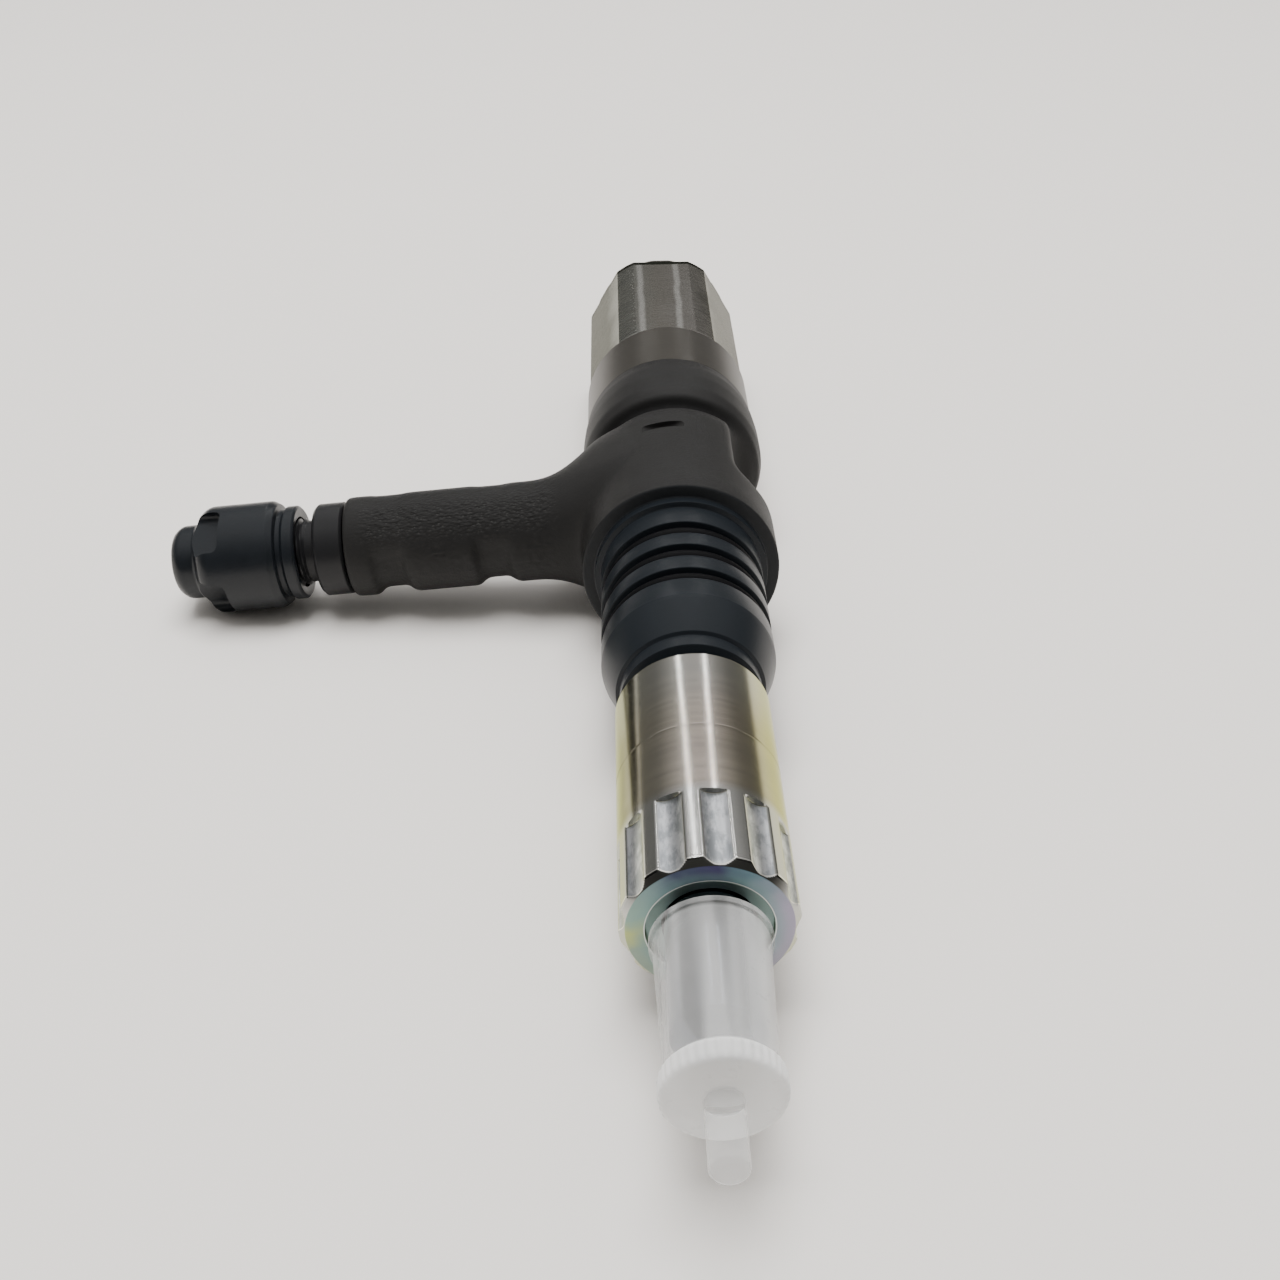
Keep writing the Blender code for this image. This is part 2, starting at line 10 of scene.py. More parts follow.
import bmesh
import bpy
from bpy.props import FloatProperty, FloatVectorProperty, IntProperty, PointerProperty
from mathutils import Matrix, Vector, noise
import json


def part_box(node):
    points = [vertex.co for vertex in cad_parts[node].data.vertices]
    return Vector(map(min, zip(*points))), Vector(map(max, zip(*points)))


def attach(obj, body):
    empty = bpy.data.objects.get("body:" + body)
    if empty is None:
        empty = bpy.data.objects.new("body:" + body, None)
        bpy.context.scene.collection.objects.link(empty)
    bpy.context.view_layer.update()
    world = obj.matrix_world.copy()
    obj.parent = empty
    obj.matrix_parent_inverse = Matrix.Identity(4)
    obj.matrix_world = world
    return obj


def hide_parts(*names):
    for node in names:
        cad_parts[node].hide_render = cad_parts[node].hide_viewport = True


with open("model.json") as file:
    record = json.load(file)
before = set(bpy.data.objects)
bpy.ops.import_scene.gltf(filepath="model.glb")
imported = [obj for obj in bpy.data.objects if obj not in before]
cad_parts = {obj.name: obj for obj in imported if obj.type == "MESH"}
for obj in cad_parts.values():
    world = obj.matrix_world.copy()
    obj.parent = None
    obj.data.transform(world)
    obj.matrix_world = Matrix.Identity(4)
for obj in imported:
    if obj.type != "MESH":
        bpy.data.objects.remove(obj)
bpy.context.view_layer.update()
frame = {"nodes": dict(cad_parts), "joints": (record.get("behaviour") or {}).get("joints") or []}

bl_info = {
    "name": "Fuel Injector",
    "version": (1, 0, 0),
    "blender": (4, 5, 0),
    "location": "View3D > Sidebar > Injector",
    "description": "Models a diesel fuel injector and its studio stage",
    "category": "Add Mesh",
}

MM = 0.001

# ---------- places, from the frame ----------


def middle(low, high):
    return (low + high) / 2


NUT_LOW, NUT_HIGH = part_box("nozzle_retaining_nut")
SEAT = Vector((middle(NUT_LOW.x, NUT_HIGH.x), NUT_LOW.y, middle(NUT_LOW.z, NUT_HIGH.z)))
ARM_AXIS = Vector(next(j["axis"] for j in frame["joints"] if j["name"] == "inlet_cap_slide"))
ROLL = math.atan2(-ARM_AXIS.z, -ARM_AXIS.x)
ARM_Y = middle(*(corner.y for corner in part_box("inlet_connector")))
ROLLED = Matrix.Rotation(-ROLL, 4, "Y")
INJECTOR = Matrix.Translation(SEAT) @ ROLLED @ Matrix.Scale(MM, 4)
ALONG_ARM = Matrix.Rotation(math.pi / 2, 4, "Z")
INLET = Matrix.Translation((SEAT.x, ARM_Y, SEAT.z)) @ ROLLED @ ALONG_ARM @ Matrix.Scale(MM, 4)
ARM_STATION = (ARM_Y - SEAT.y) / MM
ARM_PLACE = Matrix.Translation((0, ARM_STATION, 0)) @ ALONG_ARM


# ---------- modelling ----------


def deselect_all():
    active = bpy.context.view_layer.objects.active
    if active is not None and active.mode != "OBJECT":
        bpy.ops.object.mode_set(mode="OBJECT")
    bpy.ops.object.select_all(action="DESELECT")


def pick(piece):
    """Makes a piece the one selected and active object."""
    deselect_all()
    piece.select_set(True)
    bpy.context.view_layer.objects.active = piece


def settle(piece, place):
    """Moves a piece to its place for good."""
    pick(piece)
    piece.matrix_world = place
    bpy.ops.object.transform_apply(location=True, rotation=True, scale=True)


CORNER_STEPS = 3
LEAST_TURN = math.radians(8)  # a turn below this is left as it is
MERGE_MM = 2e-4


def eased(outline, closed, default):
    """Rounds the corners of an outline. A point is (radius, y) or (radius, y, corner radius)."""
    count = len(outline)
    rounded = []
    for k, entry in enumerate(outline):
        corner = Vector(entry[:2])
        ease = entry[2] if len(entry) > 2 else default
        at_end = not closed and k in (0, count - 1)
        if ease <= 0.0 or at_end or corner.x <= 0.0:
            rounded.append(tuple(corner))
            continue
        to_last = Vector(outline[k - 1][:2]) - corner
        to_next = Vector(outline[(k + 1) % count][:2]) - corner
        turn = math.pi - to_last.angle(to_next, 0.0)
        if turn < LEAST_TURN:
            rounded.append(tuple(corner))
            continue
        back = min(ease * math.tan(turn / 2), 0.45 * to_last.length, 0.45 * to_next.length)
        start = corner + to_last.normalized() * back
        stop = corner + to_next.normalized() * back
        for step in range(CORNER_STEPS + 1):
            t = step / CORNER_STEPS
            rounded.append(tuple(start * (1 - t) ** 2 + corner * 2 * t * (1 - t) + stop * t**2))
    return rounded


def turned(name, outline, sides, ease=0.12):
    """Draws the outline as one line of vertices, then spins it about Y into a closed piece."""
    closed = outline[0][0] > 0.0
    points = eased(outline, closed, ease)
    if closed:
        points.append(points[0])
    deselect_all()
    bpy.ops.mesh.primitive_plane_add(size=1.0, location=(0, 0, 0))
    piece = bpy.context.object
    piece.name = piece.data.name = name
    bpy.ops.object.mode_set(mode="EDIT")
    bpy.ops.mesh.select_all(action="SELECT")
    bpy.ops.mesh.merge(type="CENTER")
    last = (0.0, 0.0)
    for k, (radius, y) in enumerate(points):
        move = (radius - last[0], y - last[1], 0.0)
        if k == 0:
            bpy.ops.transform.translate(value=move)
        else:
            bpy.ops.mesh.extrude_vertices_move(TRANSFORM_OT_translate={"value": move})
        last = (radius, y)
    bpy.ops.mesh.select_all(action="SELECT")
    bpy.ops.mesh.spin(steps=sides, angle=math.tau, center=(0, 0, 0), axis=(0, 1, 0))
    bpy.ops.mesh.select_all(action="SELECT")
    bpy.ops.mesh.remove_doubles(threshold=MERGE_MM)
    bpy.ops.mesh.normals_make_consistent(inside=False)
    bpy.ops.object.mode_set(mode="OBJECT")
    return piece


def ring(inner, outer, start, end):
    return [(inner, start), (outer, start), (outer, end), (inner, end)]


def trim(piece, allowed):
    """Draws vertices in towards the axis, to the radius allowed at their angle from +Z and their y."""
    for vertex in piece.data.vertices:
        radius = math.hypot(vertex.co.x, vertex.co.z)
        limit = allowed(math.atan2(vertex.co.x, vertex.co.z), vertex.co.y, radius)
        if radius > limit:
            vertex.co.x *= limit / radius
            vertex.co.z *= limit / radius


def from_nearest(angle, count, first=0.0):
    """The angle from the nearest of several evenly spaced directions."""
    pitch = math.tau / count
    return (angle - first + pitch / 2) % pitch - pitch / 2


def apply_modifier(piece, kind, **settings):
    pick(piece)
    bpy.ops.object.modifier_add(type=kind)
    modifier = piece.modifiers[-1]
    for key, value in settings.items():
        setattr(modifier, key, value)
    bpy.ops.object.modifier_apply(modifier=modifier.name)


def combine(piece, other, operation="DIFFERENCE"):
    """Cuts or joins with another piece, which is used up."""
    apply_modifier(piece, "BOOLEAN", operation=operation, solver="MANIFOLD", object=other)
    bpy.data.objects.remove(other)


def rod(name, radius, start, end, sides, x):
    """A plain round bar along Y, used as a cutter."""
    deselect_all()
    bpy.ops.mesh.primitive_cylinder_add(
        vertices=sides, radius=radius, depth=end - start, location=(x, middle(start, end), 0.0),
        rotation=(math.pi / 2, 0, 0),
    )
    bar = bpy.context.object
    bar.name = name
    bpy.ops.object.transform_apply(location=True, rotation=True, scale=True)
    return bar


def lofted(name, rings):
    """Closed piece through rings of equal count, each a list of (x, y, z)."""
    shape = bmesh.new()
    rows = [[shape.verts.new(point) for point in points] for points in rings]
    count = len(rows[0])
    for near, far in zip(rows, rows[1:]):
        for k in range(count):
            after = (k + 1) % count
            shape.faces.new((near[k], near[after], far[after], far[k]))
    shape.faces.new(rows[0])
    shape.faces.new(rows[-1])
    bmesh.ops.recalc_face_normals(shape, faces=shape.faces)
    mesh = bpy.data.meshes.new(name)
    shape.to_mesh(mesh)
    shape.free()
    piece = bpy.data.objects.new(name, mesh)
    bpy.context.scene.collection.objects.link(piece)
    return piece


def finish_piece(piece, place, body, material, nodes, angle=35.0, level=True):
    """Puts a piece in its place for good and ties it to its body, slot and CAD nodes."""
    settle(piece, place)
    bpy.ops.object.shade_smooth_by_angle(angle=math.radians(angle))
    if level:
        apply_modifier(piece, "WEIGHTED_NORMAL", keep_sharp=True)
    piece.data.materials.clear()
    piece.data.materials.append(material)
    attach(piece, body)
    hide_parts(*nodes)
    return piece


# ---------- materials ----------


class Wire:
    """An output of a node. Arithmetic on it adds Math nodes."""

    def __init__(self, finish, socket):
        self.finish = finish
        self.socket = socket

    def __add__(self, other):
        return self.finish.maths("ADD", self, other)

    __radd__ = __add__

    def __sub__(self, other):
        return self.finish.maths("SUBTRACT", self, other)

    def __rsub__(self, other):
        return self.finish.maths("SUBTRACT", other, self)

    def __mul__(self, other):
        return self.finish.maths("MULTIPLY", self, other)

    __rmul__ = __mul__

    def __truediv__(self, other):
        return self.finish.maths("DIVIDE", self, other)


class Finish:
    """A procedural material with a Principled shader."""

    def __init__(self, name, **constants):
        self.material = bpy.data.materials.new(name)
        self.material.use_nodes = True
        self.tree = self.material.node_tree
        self.shader = self.tree.nodes["Principled BSDF"]
        for key, value in constants.items():
            socket = key.replace("_", " ").title().replace("Ior", "IOR")
            self.shader.inputs[socket].default_value = value

    def node(self, kind, settings=None, inputs=None, output=0):
        """Adds a node, sets it up, feeds its inputs with values or wires, and gives one of its outputs."""
        made = self.tree.nodes.new(kind)
        for key, value in (settings or {}).items():
            if key == "stops":
                self.set_stops(made.color_ramp, value)
            else:
                setattr(made, key, value)
        for key, value in (inputs or {}).items():
            if isinstance(value, Wire):
                self.tree.links.new(value.socket, made.inputs[key])
            else:
                made.inputs[key].default_value = value
        return Wire(self, made.outputs[output])

    def set_stops(self, ramp, stops):
        while len(ramp.elements) < len(stops):
            ramp.elements.new(0.5)
        for element, (position, colour) in zip(ramp.elements, stops):
            element.position = position
            element.color = (*colour, 1.0)

    def maths(self, operation, first, second=0.0):
        return self.node("ShaderNodeMath", {"operation": operation}, {0: first, 1: second})

    def feed(self, name, wire):
        self.tree.links.new(wire.socket, self.shader.inputs[name])

    def mix(self, factor, first, second):
        """Mixes two colours."""
        settings = {"data_type": "RGBA"}
        shades = [c if isinstance(c, Wire) else (*tuple(c)[:3], 1.0) for c in (first, second)]
        return self.node("ShaderNodeMix", settings, {0: factor, 6: shades[0], 7: shades[1]}, 2)

    def step(self, value, low, high):
        """0 at low, 1 at high, and an even curve between."""
        settings = {"interpolation_type": "SMOOTHSTEP", "clamp": True}
        return self.node("ShaderNodeMapRange", settings, {0: value, 1: low, 2: high})

    def window(self, value, low, high, soft):
        return self.step(value, low - soft, low + soft) * (1.0 - self.step(value, high - soft, high + soft))

    def noise(self, vector, scale, detail=2.0, roughness=0.5):
        inputs = {"Vector": vector, "Scale": scale, "Detail": detail, "Roughness": roughness}
        return self.node("ShaderNodeTexNoise", None, inputs)

    def ramp(self, value, stops):
        return self.node("ShaderNodeValToRGB", {"stops": stops}, {0: value})

    def bump(self, height, distance, strength):
        inputs = {"Height": height, "Distance": distance, "Strength": strength}
        return self.node("ShaderNodeBump", None, inputs)

    def local(self, place):
        """The position in a piece's own frame, in millimetres."""
        position = self.node("ShaderNodeTexCoord", None, None, "Object")
        inverse = place.inverted()
        inputs = {
            "Vector": position, "Location": inverse.translation, "Rotation": inverse.to_euler(),
            "Scale": inverse.to_scale(),
        }
        return self.node("ShaderNodeMapping", {"vector_type": "POINT"}, inputs)

    def split(self, vector):
        """x, y and z of a position, then its distance from the Y axis and its angle about it from +Z."""
        parts = [self.node("ShaderNodeSeparateXYZ", None, {0: vector}, axis) for axis in range(3)]
        x, y, z = parts
        radius = self.maths("SQRT", x * x + z * z)
        return x, y, z, radius, self.maths("ARCTAN2", x, z)

    def join(self, x, y, z):
        return self.node("ShaderNodeCombineXYZ", None, {0: x, 1: y, 2: z})


def shade(colour, factor):
    return tuple(min(1.0, c * factor) for c in colour)


def turning_marks(finish, y, radius, pitch):
    """Fine rings left by a lathe: noise that changes along the outline but not round it."""
    return finish.noise(finish.join(0.0, y, radius), 1.0 / pitch, 3.0, 0.65)


def forging_finish(settings):
    finish = Finish("black_phosphated_forging", metallic=0.0, specular_ior_level=0.17)
    place = finish.local(INJECTOR)
    x, y, z, radius, _ = finish.split(place)
    grain = finish.noise(place, 2.2, 4.0, 0.6)
    fine = finish.noise(place, 9.0, 3.0, 0.6)
    cloud = finish.noise(place, 0.09, 3.0, 0.55)
    barrel = 1.0 - finish.step(y, 98.6, 99.6)
    along_arm = finish.step(0.0 - x, 22.0, 26.0)
    machined = finish.maths("MAXIMUM", barrel, finish.step(y, 140.0, 141.5) * (1.0 - along_arm))
    marks = turning_marks(finish, y, radius, 0.35)
    rough_skin = finish.mix(cloud, shade(settings.forging_colour, 0.8), shade(settings.forging_colour, 1.25))
    arm = finish.window(0.0 - x, 26.0, 66.0, 3.0)
    band = finish.window(ARM_STATION - y - z * 0.35, -1.5, 7.0, 2.5) * finish.step(z, 0.0, 4.0) * arm
    scales = finish.node("ShaderNodeTexVoronoi", {"feature": "F1"}, {
        "Vector": finish.join(x * 0.5, y, z), "Scale": 1.9, "Randomness": 1.0,
    })
    worn = band * finish.step(fine, 0.50, 0.66) * (1.0 - finish.step(scales, 0.10, 0.42))
    speckled = finish.mix(finish.step(fine, 0.62, 0.8) * 0.25, rough_skin, (0.05, 0.05, 0.048))
    speckled = finish.mix(worn * 0.8, speckled, (0.11, 0.11, 0.105))
    # Painted shade: on the top, the groove between the pad and the head's front edge is blended towards near
    # black where shade falls.
    groove = finish.window(y, 136.8, 140.2, 1.4) * finish.step(z, 8.0, 14.0)
    speckled = finish.mix(groove * 0.75, speckled, (0.003, 0.003, 0.003))
    lands = finish.mix(marks, shade(settings.land_colour, 0.95), shade(settings.land_colour, 1.06))
    finish.feed("Base Color", finish.mix(barrel, speckled, lands))
    rough = settings.forging_roughness + 0.12 * grain - 0.06
    smooth_rough = 0.33 + 0.02 * marks
    finish.feed("Roughness", barrel * smooth_rough + (1.0 - barrel) * (rough + groove * 0.25))
    height = (1.0 - machined) * grain * 0.6 + 0.10 * fine + machined * marks * 0.02
    finish.feed("Normal", finish.bump(height + band * scales * 2.2, 0.00013, 1.0))
    return finish.material


def zinc_layers(finish, settings, colours):
    """Turned, zinc-plated steel. Its colour changes round the axis as each piece's list sets it: partly the
    tint of the passivation's thin film, partly painted light and shade.
    """
    place = finish.local(INJECTOR)
    x, y, z, radius, angle = finish.split(place)
    marks = turning_marks(finish, y, radius, 0.22)
    coarse = turning_marks(finish, y, radius, 1.6)
    cloud = finish.noise(place, 0.06, 3.0, 0.5)
    turn = (angle + math.pi) / math.tau + (cloud - 0.5) * 0.10 + (coarse - 0.5) * 0.02
    base = finish.ramp(turn, colours)
    base = finish.mix(finish.step(coarse, 0.35, 0.75) * 0.25, base, settings.zinc_shadow)
    roughness = settings.zinc_roughness + 0.08 * marks + 0.06 * cloud
    finish.feed("Normal", finish.bump(marks * 0.6 + coarse * 0.4, 0.000008, 0.7))
    return (x, y, z, radius, turn), base, roughness


def housing_finish(settings):
    """The zinc of the housing: its colour list paints light on top and shade at the sides, two bright lines
    on its upper flat are painted highlights standing for the tube lights' reflections, and a dark band lies
    at its far end.
    """
    finish = Finish("zinc_housing", metallic=1.0, specular_tint=(0.62, 0.62, 0.58, 1.0))
    (x, y, z, _, _), base, roughness = zinc_layers(finish, settings, HOUSING_PAINTED_LIGHT)
    sway = finish.noise(finish.join(0.0, y * 0.12, 0.0), 1.0, 2.0) - 0.5
    # Painted highlights: two bright lines on the upper flat stand for the reflections of the two tube lights.
    left = finish.window(x + sway * 0.8, -4.9, -3.5, 0.45)
    right = finish.window(x + sway * 1.2 - (y - 178.0) * 0.01, 4.1, 5.5, 0.45)
    top = finish.step(z, 14.0, 16.0)
    base = finish.mix((left + right) * top * 0.8, base, (0.92, 0.91, 0.88))
    far_band = finish.window(y, 222.9, 224.9, 0.15)
    base = finish.mix(far_band, base, (0.05, 0.055, 0.045))
    finish.feed("Base Color", base)
    finish.feed("Roughness", roughness + 0.10)
    return finish.material


def nut_finish(settings):
    """The zinc of the nut: dull flute floors, a chamfer with painted shade on its top and a painted highlight
    along its edge, a painted highlight round the bore, and an iridescent face.
    """
    finish = Finish("zinc_nut", metallic=1.0, specular_tint=(0.82, 0.82, 0.52, 1.0))
    (x, y, z, radius, turn), base, roughness = zinc_layers(finish, settings, NUT_TINTS_AND_SHADE)
    silver = finish.step(y, 33.0, 50.0) * 0.6 + (1.0 - finish.step(y, 15.6, 18.5)) * 0.8
    base = finish.mix(silver, base, (0.56, 0.57, 0.57))
    flute = (1.0 - finish.step(radius, 13.45, 13.65)) * (1.0 - finish.step(y, 15.7, 15.95))
    mottle = finish.noise(finish.join(x, y * 0.4, z), 0.5, 4.0, 0.7)
    floor = finish.mix(finish.step(mottle, 0.40, 0.62), (0.46, 0.49, 0.53), (0.80, 0.82, 0.86))
    base = finish.mix(flute, base, floor)
    beyond = y + NUT_FACE_R - radius
    outer = finish.step(radius, 12.5, 12.6)
    upper = finish.window(turn, 0.33, 0.66, 0.04)
    # Painted shade: the chamfer is light grey round most of the nut but near black on its upper part, where
    # it lies in shade.
    base = finish.mix((1.0 - finish.step(beyond, 0.02, 0.06)) * outer, base,
                      finish.mix(upper, (0.52, 0.52, 0.50), (0.07, 0.07, 0.065)))
    # Painted highlight: a bright line just above the chamfer's wavy edge.
    base = finish.mix(finish.window(beyond, 0.08, 0.34, 0.04) * outer, base, (0.95, 0.94, 0.90))
    face = (1.0 - finish.step(y, 0.03, 0.08)) * finish.step(radius, 8.0, 9.0)
    hue = finish.noise(finish.join(x, 0.0, z), 0.16, 2.0, 0.5)
    inner = finish.step(radius, 12.2, 10.2)
    tint = finish.mix(inner * 0.5, finish.ramp(turn + (hue - 0.5) * 0.14, FACE_COLOURS), (0.24, 0.37, 0.37))
    base = finish.mix(face, base, tint)
    wall = (1.0 - finish.step(radius, 9.75, 9.85)) * (1.0 - finish.step(y, 1.3, 1.5))
    base = finish.mix(wall, base, (0.27, 0.37, 0.35))
    # Painted highlight: a thin bright ring on the edge of the bore in the face.
    rim = finish.window(radius, 9.80, 9.95, 0.03) * (1.0 - finish.step(y, 0.1, 0.15))
    base = finish.mix(rim, base, (0.75, 0.78, 0.76))
    finish.feed("Base Color", base)
    finish.feed("Roughness", roughness + flute * 0.22 + face * 0.14)
    return finish.material


def plain_metal(
    name, colour, roughness, mark_pitch=0.3, mark_depth=0.00002, place=INJECTOR, metallic=1.0, sheen=0.5
):
    """Turned or ground metal of one colour, a little uneven in tone."""
    finish = Finish(name, metallic=metallic, specular_ior_level=sheen)
    spot = finish.local(place)
    _, y, _, radius, _ = finish.split(spot)
    marks = turning_marks(finish, y, radius, mark_pitch)
    cloud = finish.noise(spot, 0.25, 3.0, 0.6)
    finish.feed("Base Color", finish.mix(0.6 * cloud + 0.4 * marks, shade(colour, 0.82), shade(colour, 1.15)))
    finish.feed("Roughness", roughness + 0.16 * marks - 0.08)
    finish.feed("Normal", finish.bump(marks, mark_depth, 0.8))
    return finish.material


def moulded(name, colour, roughness, sheen=0.5):
    """Moulded plastic or rubber, with a faint skin texture."""
    finish = Finish(name, metallic=0.0, specular_ior_level=sheen)
    spot = finish.local(INJECTOR)
    grain = finish.noise(spot, 1.6, 3.0, 0.5)
    wear = finish.noise(spot, 0.2, 3.0, 0.6)
    finish.feed("Base Color", finish.mix(wear, shade(colour, 0.8), shade(colour, 1.4)))
    finish.feed("Roughness", roughness + 0.16 * wear - 0.08)
    finish.feed("Normal", finish.bump(grain, 0.00003, 0.7))
    return finish.material


def clear_finish(settings):
    """Milky soft plastic: thin walls let light through, and edges seen along the wall look white."""
    finish = Finish("clear_soft_plastic", metallic=0.0, specular_ior_level=0.4)
    spot = finish.local(INJECTOR)
    x, y, _, _, _ = finish.split(spot)
    cloud = finish.noise(spot, 0.35, 3.0, 0.6)
    facing = finish.node("ShaderNodeLayerWeight", None, {"Blend": 0.35}, "Facing")
    flow = finish.noise(finish.join(x * 0.16, y * 0.006, 0.0), 1.5, 1.0, 0.4)
    tube = finish.step(y, -27.2, -26.4)
    disc = finish.window(y, -31.2, -26.9, 0.3)
    nib = 1.0 - finish.step(y, -31.6, -31.2)
    alpha = settings.clear_alpha + 0.32 * facing + 0.03 * cloud
    alpha = alpha + 0.14 * tube * finish.step(flow, 0.42, 0.60) + disc * 0.55 + nib * 0.04
    finish.feed("Alpha", finish.maths("MINIMUM", alpha, 0.92))
    finish.feed("Base Color", finish.mix(flow, (0.88, 0.88, 0.87), (0.95, 0.95, 0.94)))
    finish.feed("Roughness", 0.20 + 0.2 * cloud)
    finish.feed("Normal", finish.bump(cloud + flow, 0.00004, 0.6))
    return finish.material


# Colours round the axis, from straight down through the left side (0.25), the top (0.5) and the right (0.75).
# In the nut's list the yellow-green stops are the plating's own tint, and the dark stop at 0.33 is painted
# shade on the upper left side.
NUT_TINTS_AND_SHADE = (
    (0.00, (0.42, 0.41, 0.38)), (0.22, (0.42, 0.47, 0.14)), (0.285, (0.44, 0.48, 0.16)),
    (0.33, (0.22, 0.22, 0.17)), (0.37, (0.46, 0.44, 0.37)), (0.45, (0.57, 0.53, 0.46)),
    (0.53, (0.61, 0.54, 0.49)), (0.62, (0.47, 0.43, 0.34)), (0.68, (0.46, 0.45, 0.22)),
    (0.78, (0.50, 0.48, 0.26)), (1.00, (0.42, 0.41, 0.38)),
)
# Painted light and shade: the housing's list is light on top and near black on both sides, the way the light
# falls on it.
HOUSING_PAINTED_LIGHT = (
    (0.00, (0.20, 0.19, 0.18)), (0.26, (0.09, 0.09, 0.085)), (0.37, (0.085, 0.09, 0.08)),
    (0.41, (0.36, 0.37, 0.35)), (0.44, (0.42, 0.425, 0.40)), (0.50, (0.39, 0.37, 0.34)),
    (0.56, (0.43, 0.41, 0.39)), (0.59, (0.46, 0.44, 0.42)), (0.63, (0.10, 0.10, 0.09)),
    (0.75, (0.10, 0.095, 0.09)), (1.00, (0.20, 0.19, 0.18)),
)
FACE_COLOURS = (
    (0.00, (0.30, 0.35, 0.32)), (0.20, (0.30, 0.38, 0.32)), (0.25, (0.48, 0.53, 0.24)),
    (0.29, (0.29, 0.42, 0.37)), (0.38, (0.24, 0.34, 0.35)), (0.46, (0.10, 0.12, 0.19)),
    (0.52, (0.09, 0.08, 0.18)), (0.58, (0.15, 0.24, 0.28)), (0.66, (0.31, 0.33, 0.40)),
    (0.74, (0.40, 0.37, 0.48)), (1.00, (0.30, 0.33, 0.34)),
)

FINISHES = {}


def make_finishes(scene):
    steel = scene.injector_steel
    FINISHES["forging"] = forging_finish(steel)
    FINISHES["nut"] = nut_finish(steel)
    FINISHES["housing"] = housing_finish(steel)
    FINISHES["band"] = plain_metal("heat_tinted_band", steel.band_colour, 0.38, 0.3, 0.00002, metallic=0.8)
    FINISHES["hard"] = plain_metal("hardened_steel", (0.34, 0.34, 0.35), 0.24)
    FINISHES["nozzle"] = plain_metal("nozzle_steel", (0.11, 0.12, 0.14), 0.14)
    FINISHES["bright"] = plain_metal("lapped_steel", (0.60, 0.60, 0.61), 0.2)
    FINISHES["spring"] = plain_metal("spring_wire", (0.22, 0.22, 0.24), 0.35)
    FINISHES["copper"] = plain_metal("copper_wire", (0.72, 0.30, 0.14), 0.32, 0.5, 0.00008)
    FINISHES["brass"] = plain_metal("terminal_brass", (0.78, 0.60, 0.28), 0.28)
    FINISHES["connector"] = plain_metal(
        "blackened_connector", (0.012, 0.012, 0.013), 0.36, 0.25, 0.00002, INLET, metallic=0.0, sheen=0.25
    )
    FINISHES["rubber"] = moulded("seal_rubber", (0.0025, 0.0025, 0.003), 0.5, sheen=0.1)
    FINISHES["plastic"] = moulded("black_cap_plastic", scene.injector_caps.black_colour, 0.32, sheen=0.3)
    FINISHES["block"] = moulded("terminal_block_plastic", (0.022, 0.022, 0.024), 0.45)
    FINISHES["clear"] = clear_finish(scene.injector_caps)


# ---------- settings ----------


def colour_setting(name, description, default):
    return FloatVectorProperty(
        name=name, description=description, subtype="COLOR", default=default, min=0.0, max=1.0
    )


class InjectorSteelSettings(bpy.types.PropertyGroup):
    forging_colour: colour_setting(
        "Forging colour", "Colour of the black forged skin", (0.0160, 0.0156, 0.0153)
    )
    forging_roughness: FloatProperty(
        name="Forging roughness", description="Roughness of the black forged skin",
        default=0.50, min=0.0, max=1.0,
    )
    land_colour: colour_setting(
        "Land colour", "Colour of the machined barrel lands", (0.0105, 0.0130, 0.0160)
    )
    band_colour: colour_setting("Band colour", "Colour of the heat-tinted union ring", (0.085, 0.078, 0.067))
    zinc_shadow: colour_setting(
        "Zinc shadow", "Colour of the darker turning lines in the zinc plating", (0.26, 0.25, 0.24)
    )
    zinc_roughness: FloatProperty(
        name="Zinc roughness", description="Roughness of the zinc plating", default=0.10, min=0.0, max=1.0
    )


class InjectorCapSettings(bpy.types.PropertyGroup):
    clear_alpha: FloatProperty(
        name="Clear cap body", description="How solid the clear cap looks face on",
        default=0.045, min=0.0, max=1.0,
    )
    black_colour: colour_setting("Black cap colour", "Colour of the inlet cap", (0.0075, 0.0092, 0.0115))
    knurls: IntProperty(
        name="Knurls", description="Fine teeth round the clear cap's disc", default=40, min=12, max=200
    )


class InjectorStageSettings(bpy.types.PropertyGroup):
    floor_colour: colour_setting("Floor colour", "Colour of the plain floor", (0.90, 0.862, 0.82))
    camera_height: FloatProperty(
        name="Camera height", description="Height of the camera above the injector's axis", unit="LENGTH",
        default=0.1632,
    )
    camera_distance: FloatProperty(
        name="Camera distance", description="Distance of the camera in front of the nut's face",
        unit="LENGTH", default=0.1578,
    )
    camera_side: FloatProperty(
        name="Camera side", description="Distance of the camera to the left of the axis", unit="LENGTH",
        default=0.0129,
    )
    key_power: FloatProperty(
        name="Overhead light", description="Power of the large soft overhead light", default=42.0, min=0.0
    )
    tube_power: FloatProperty(
        name="Tube lights", description="Power of each of the two long tubes", default=3.2, min=0.0
    )
    sky_strength: FloatProperty(
        name="Room light", description="Strength of the even light of the room", default=1.0, min=0.0
    )


# ---------- pieces ----------

BARREL_R = 16.2
COLLAR_R = 20.0
NECK_R = 17.5
HEAD_R = 20.2
HEAD_START = 138.0
HEAD_END = 159.2
RECESS_X = 13.0
RECESS_Y = 112.5
ARM_R = 10.7
ARM_END = 70.3
SEALS = ((73.4, 3.6), (81.45, 4.1), (89.65, 4.1))  # centre and width of each seal groove
SEAL_OUTER_R = 15.8
MOULD_FLASH = 1.03


def seal_wire(width):
    return (width - 0.75) / 2


def smooth(low, high, value):
    k = min(1.0, max(0.0, (value - low) / (high - low)))
    return k * k * (3.0 - 2.0 * k)


def arm_relief(along):
    """How far the forging's shallow bands draw in its near, lower side."""
    first = smooth(34.9, 36.9, along) - smooth(41.6, 43.4, along)
    second = smooth(57.0, 58.9, along) - smooth(63.8, 65.6, along)
    return 1.5 * (first + second)


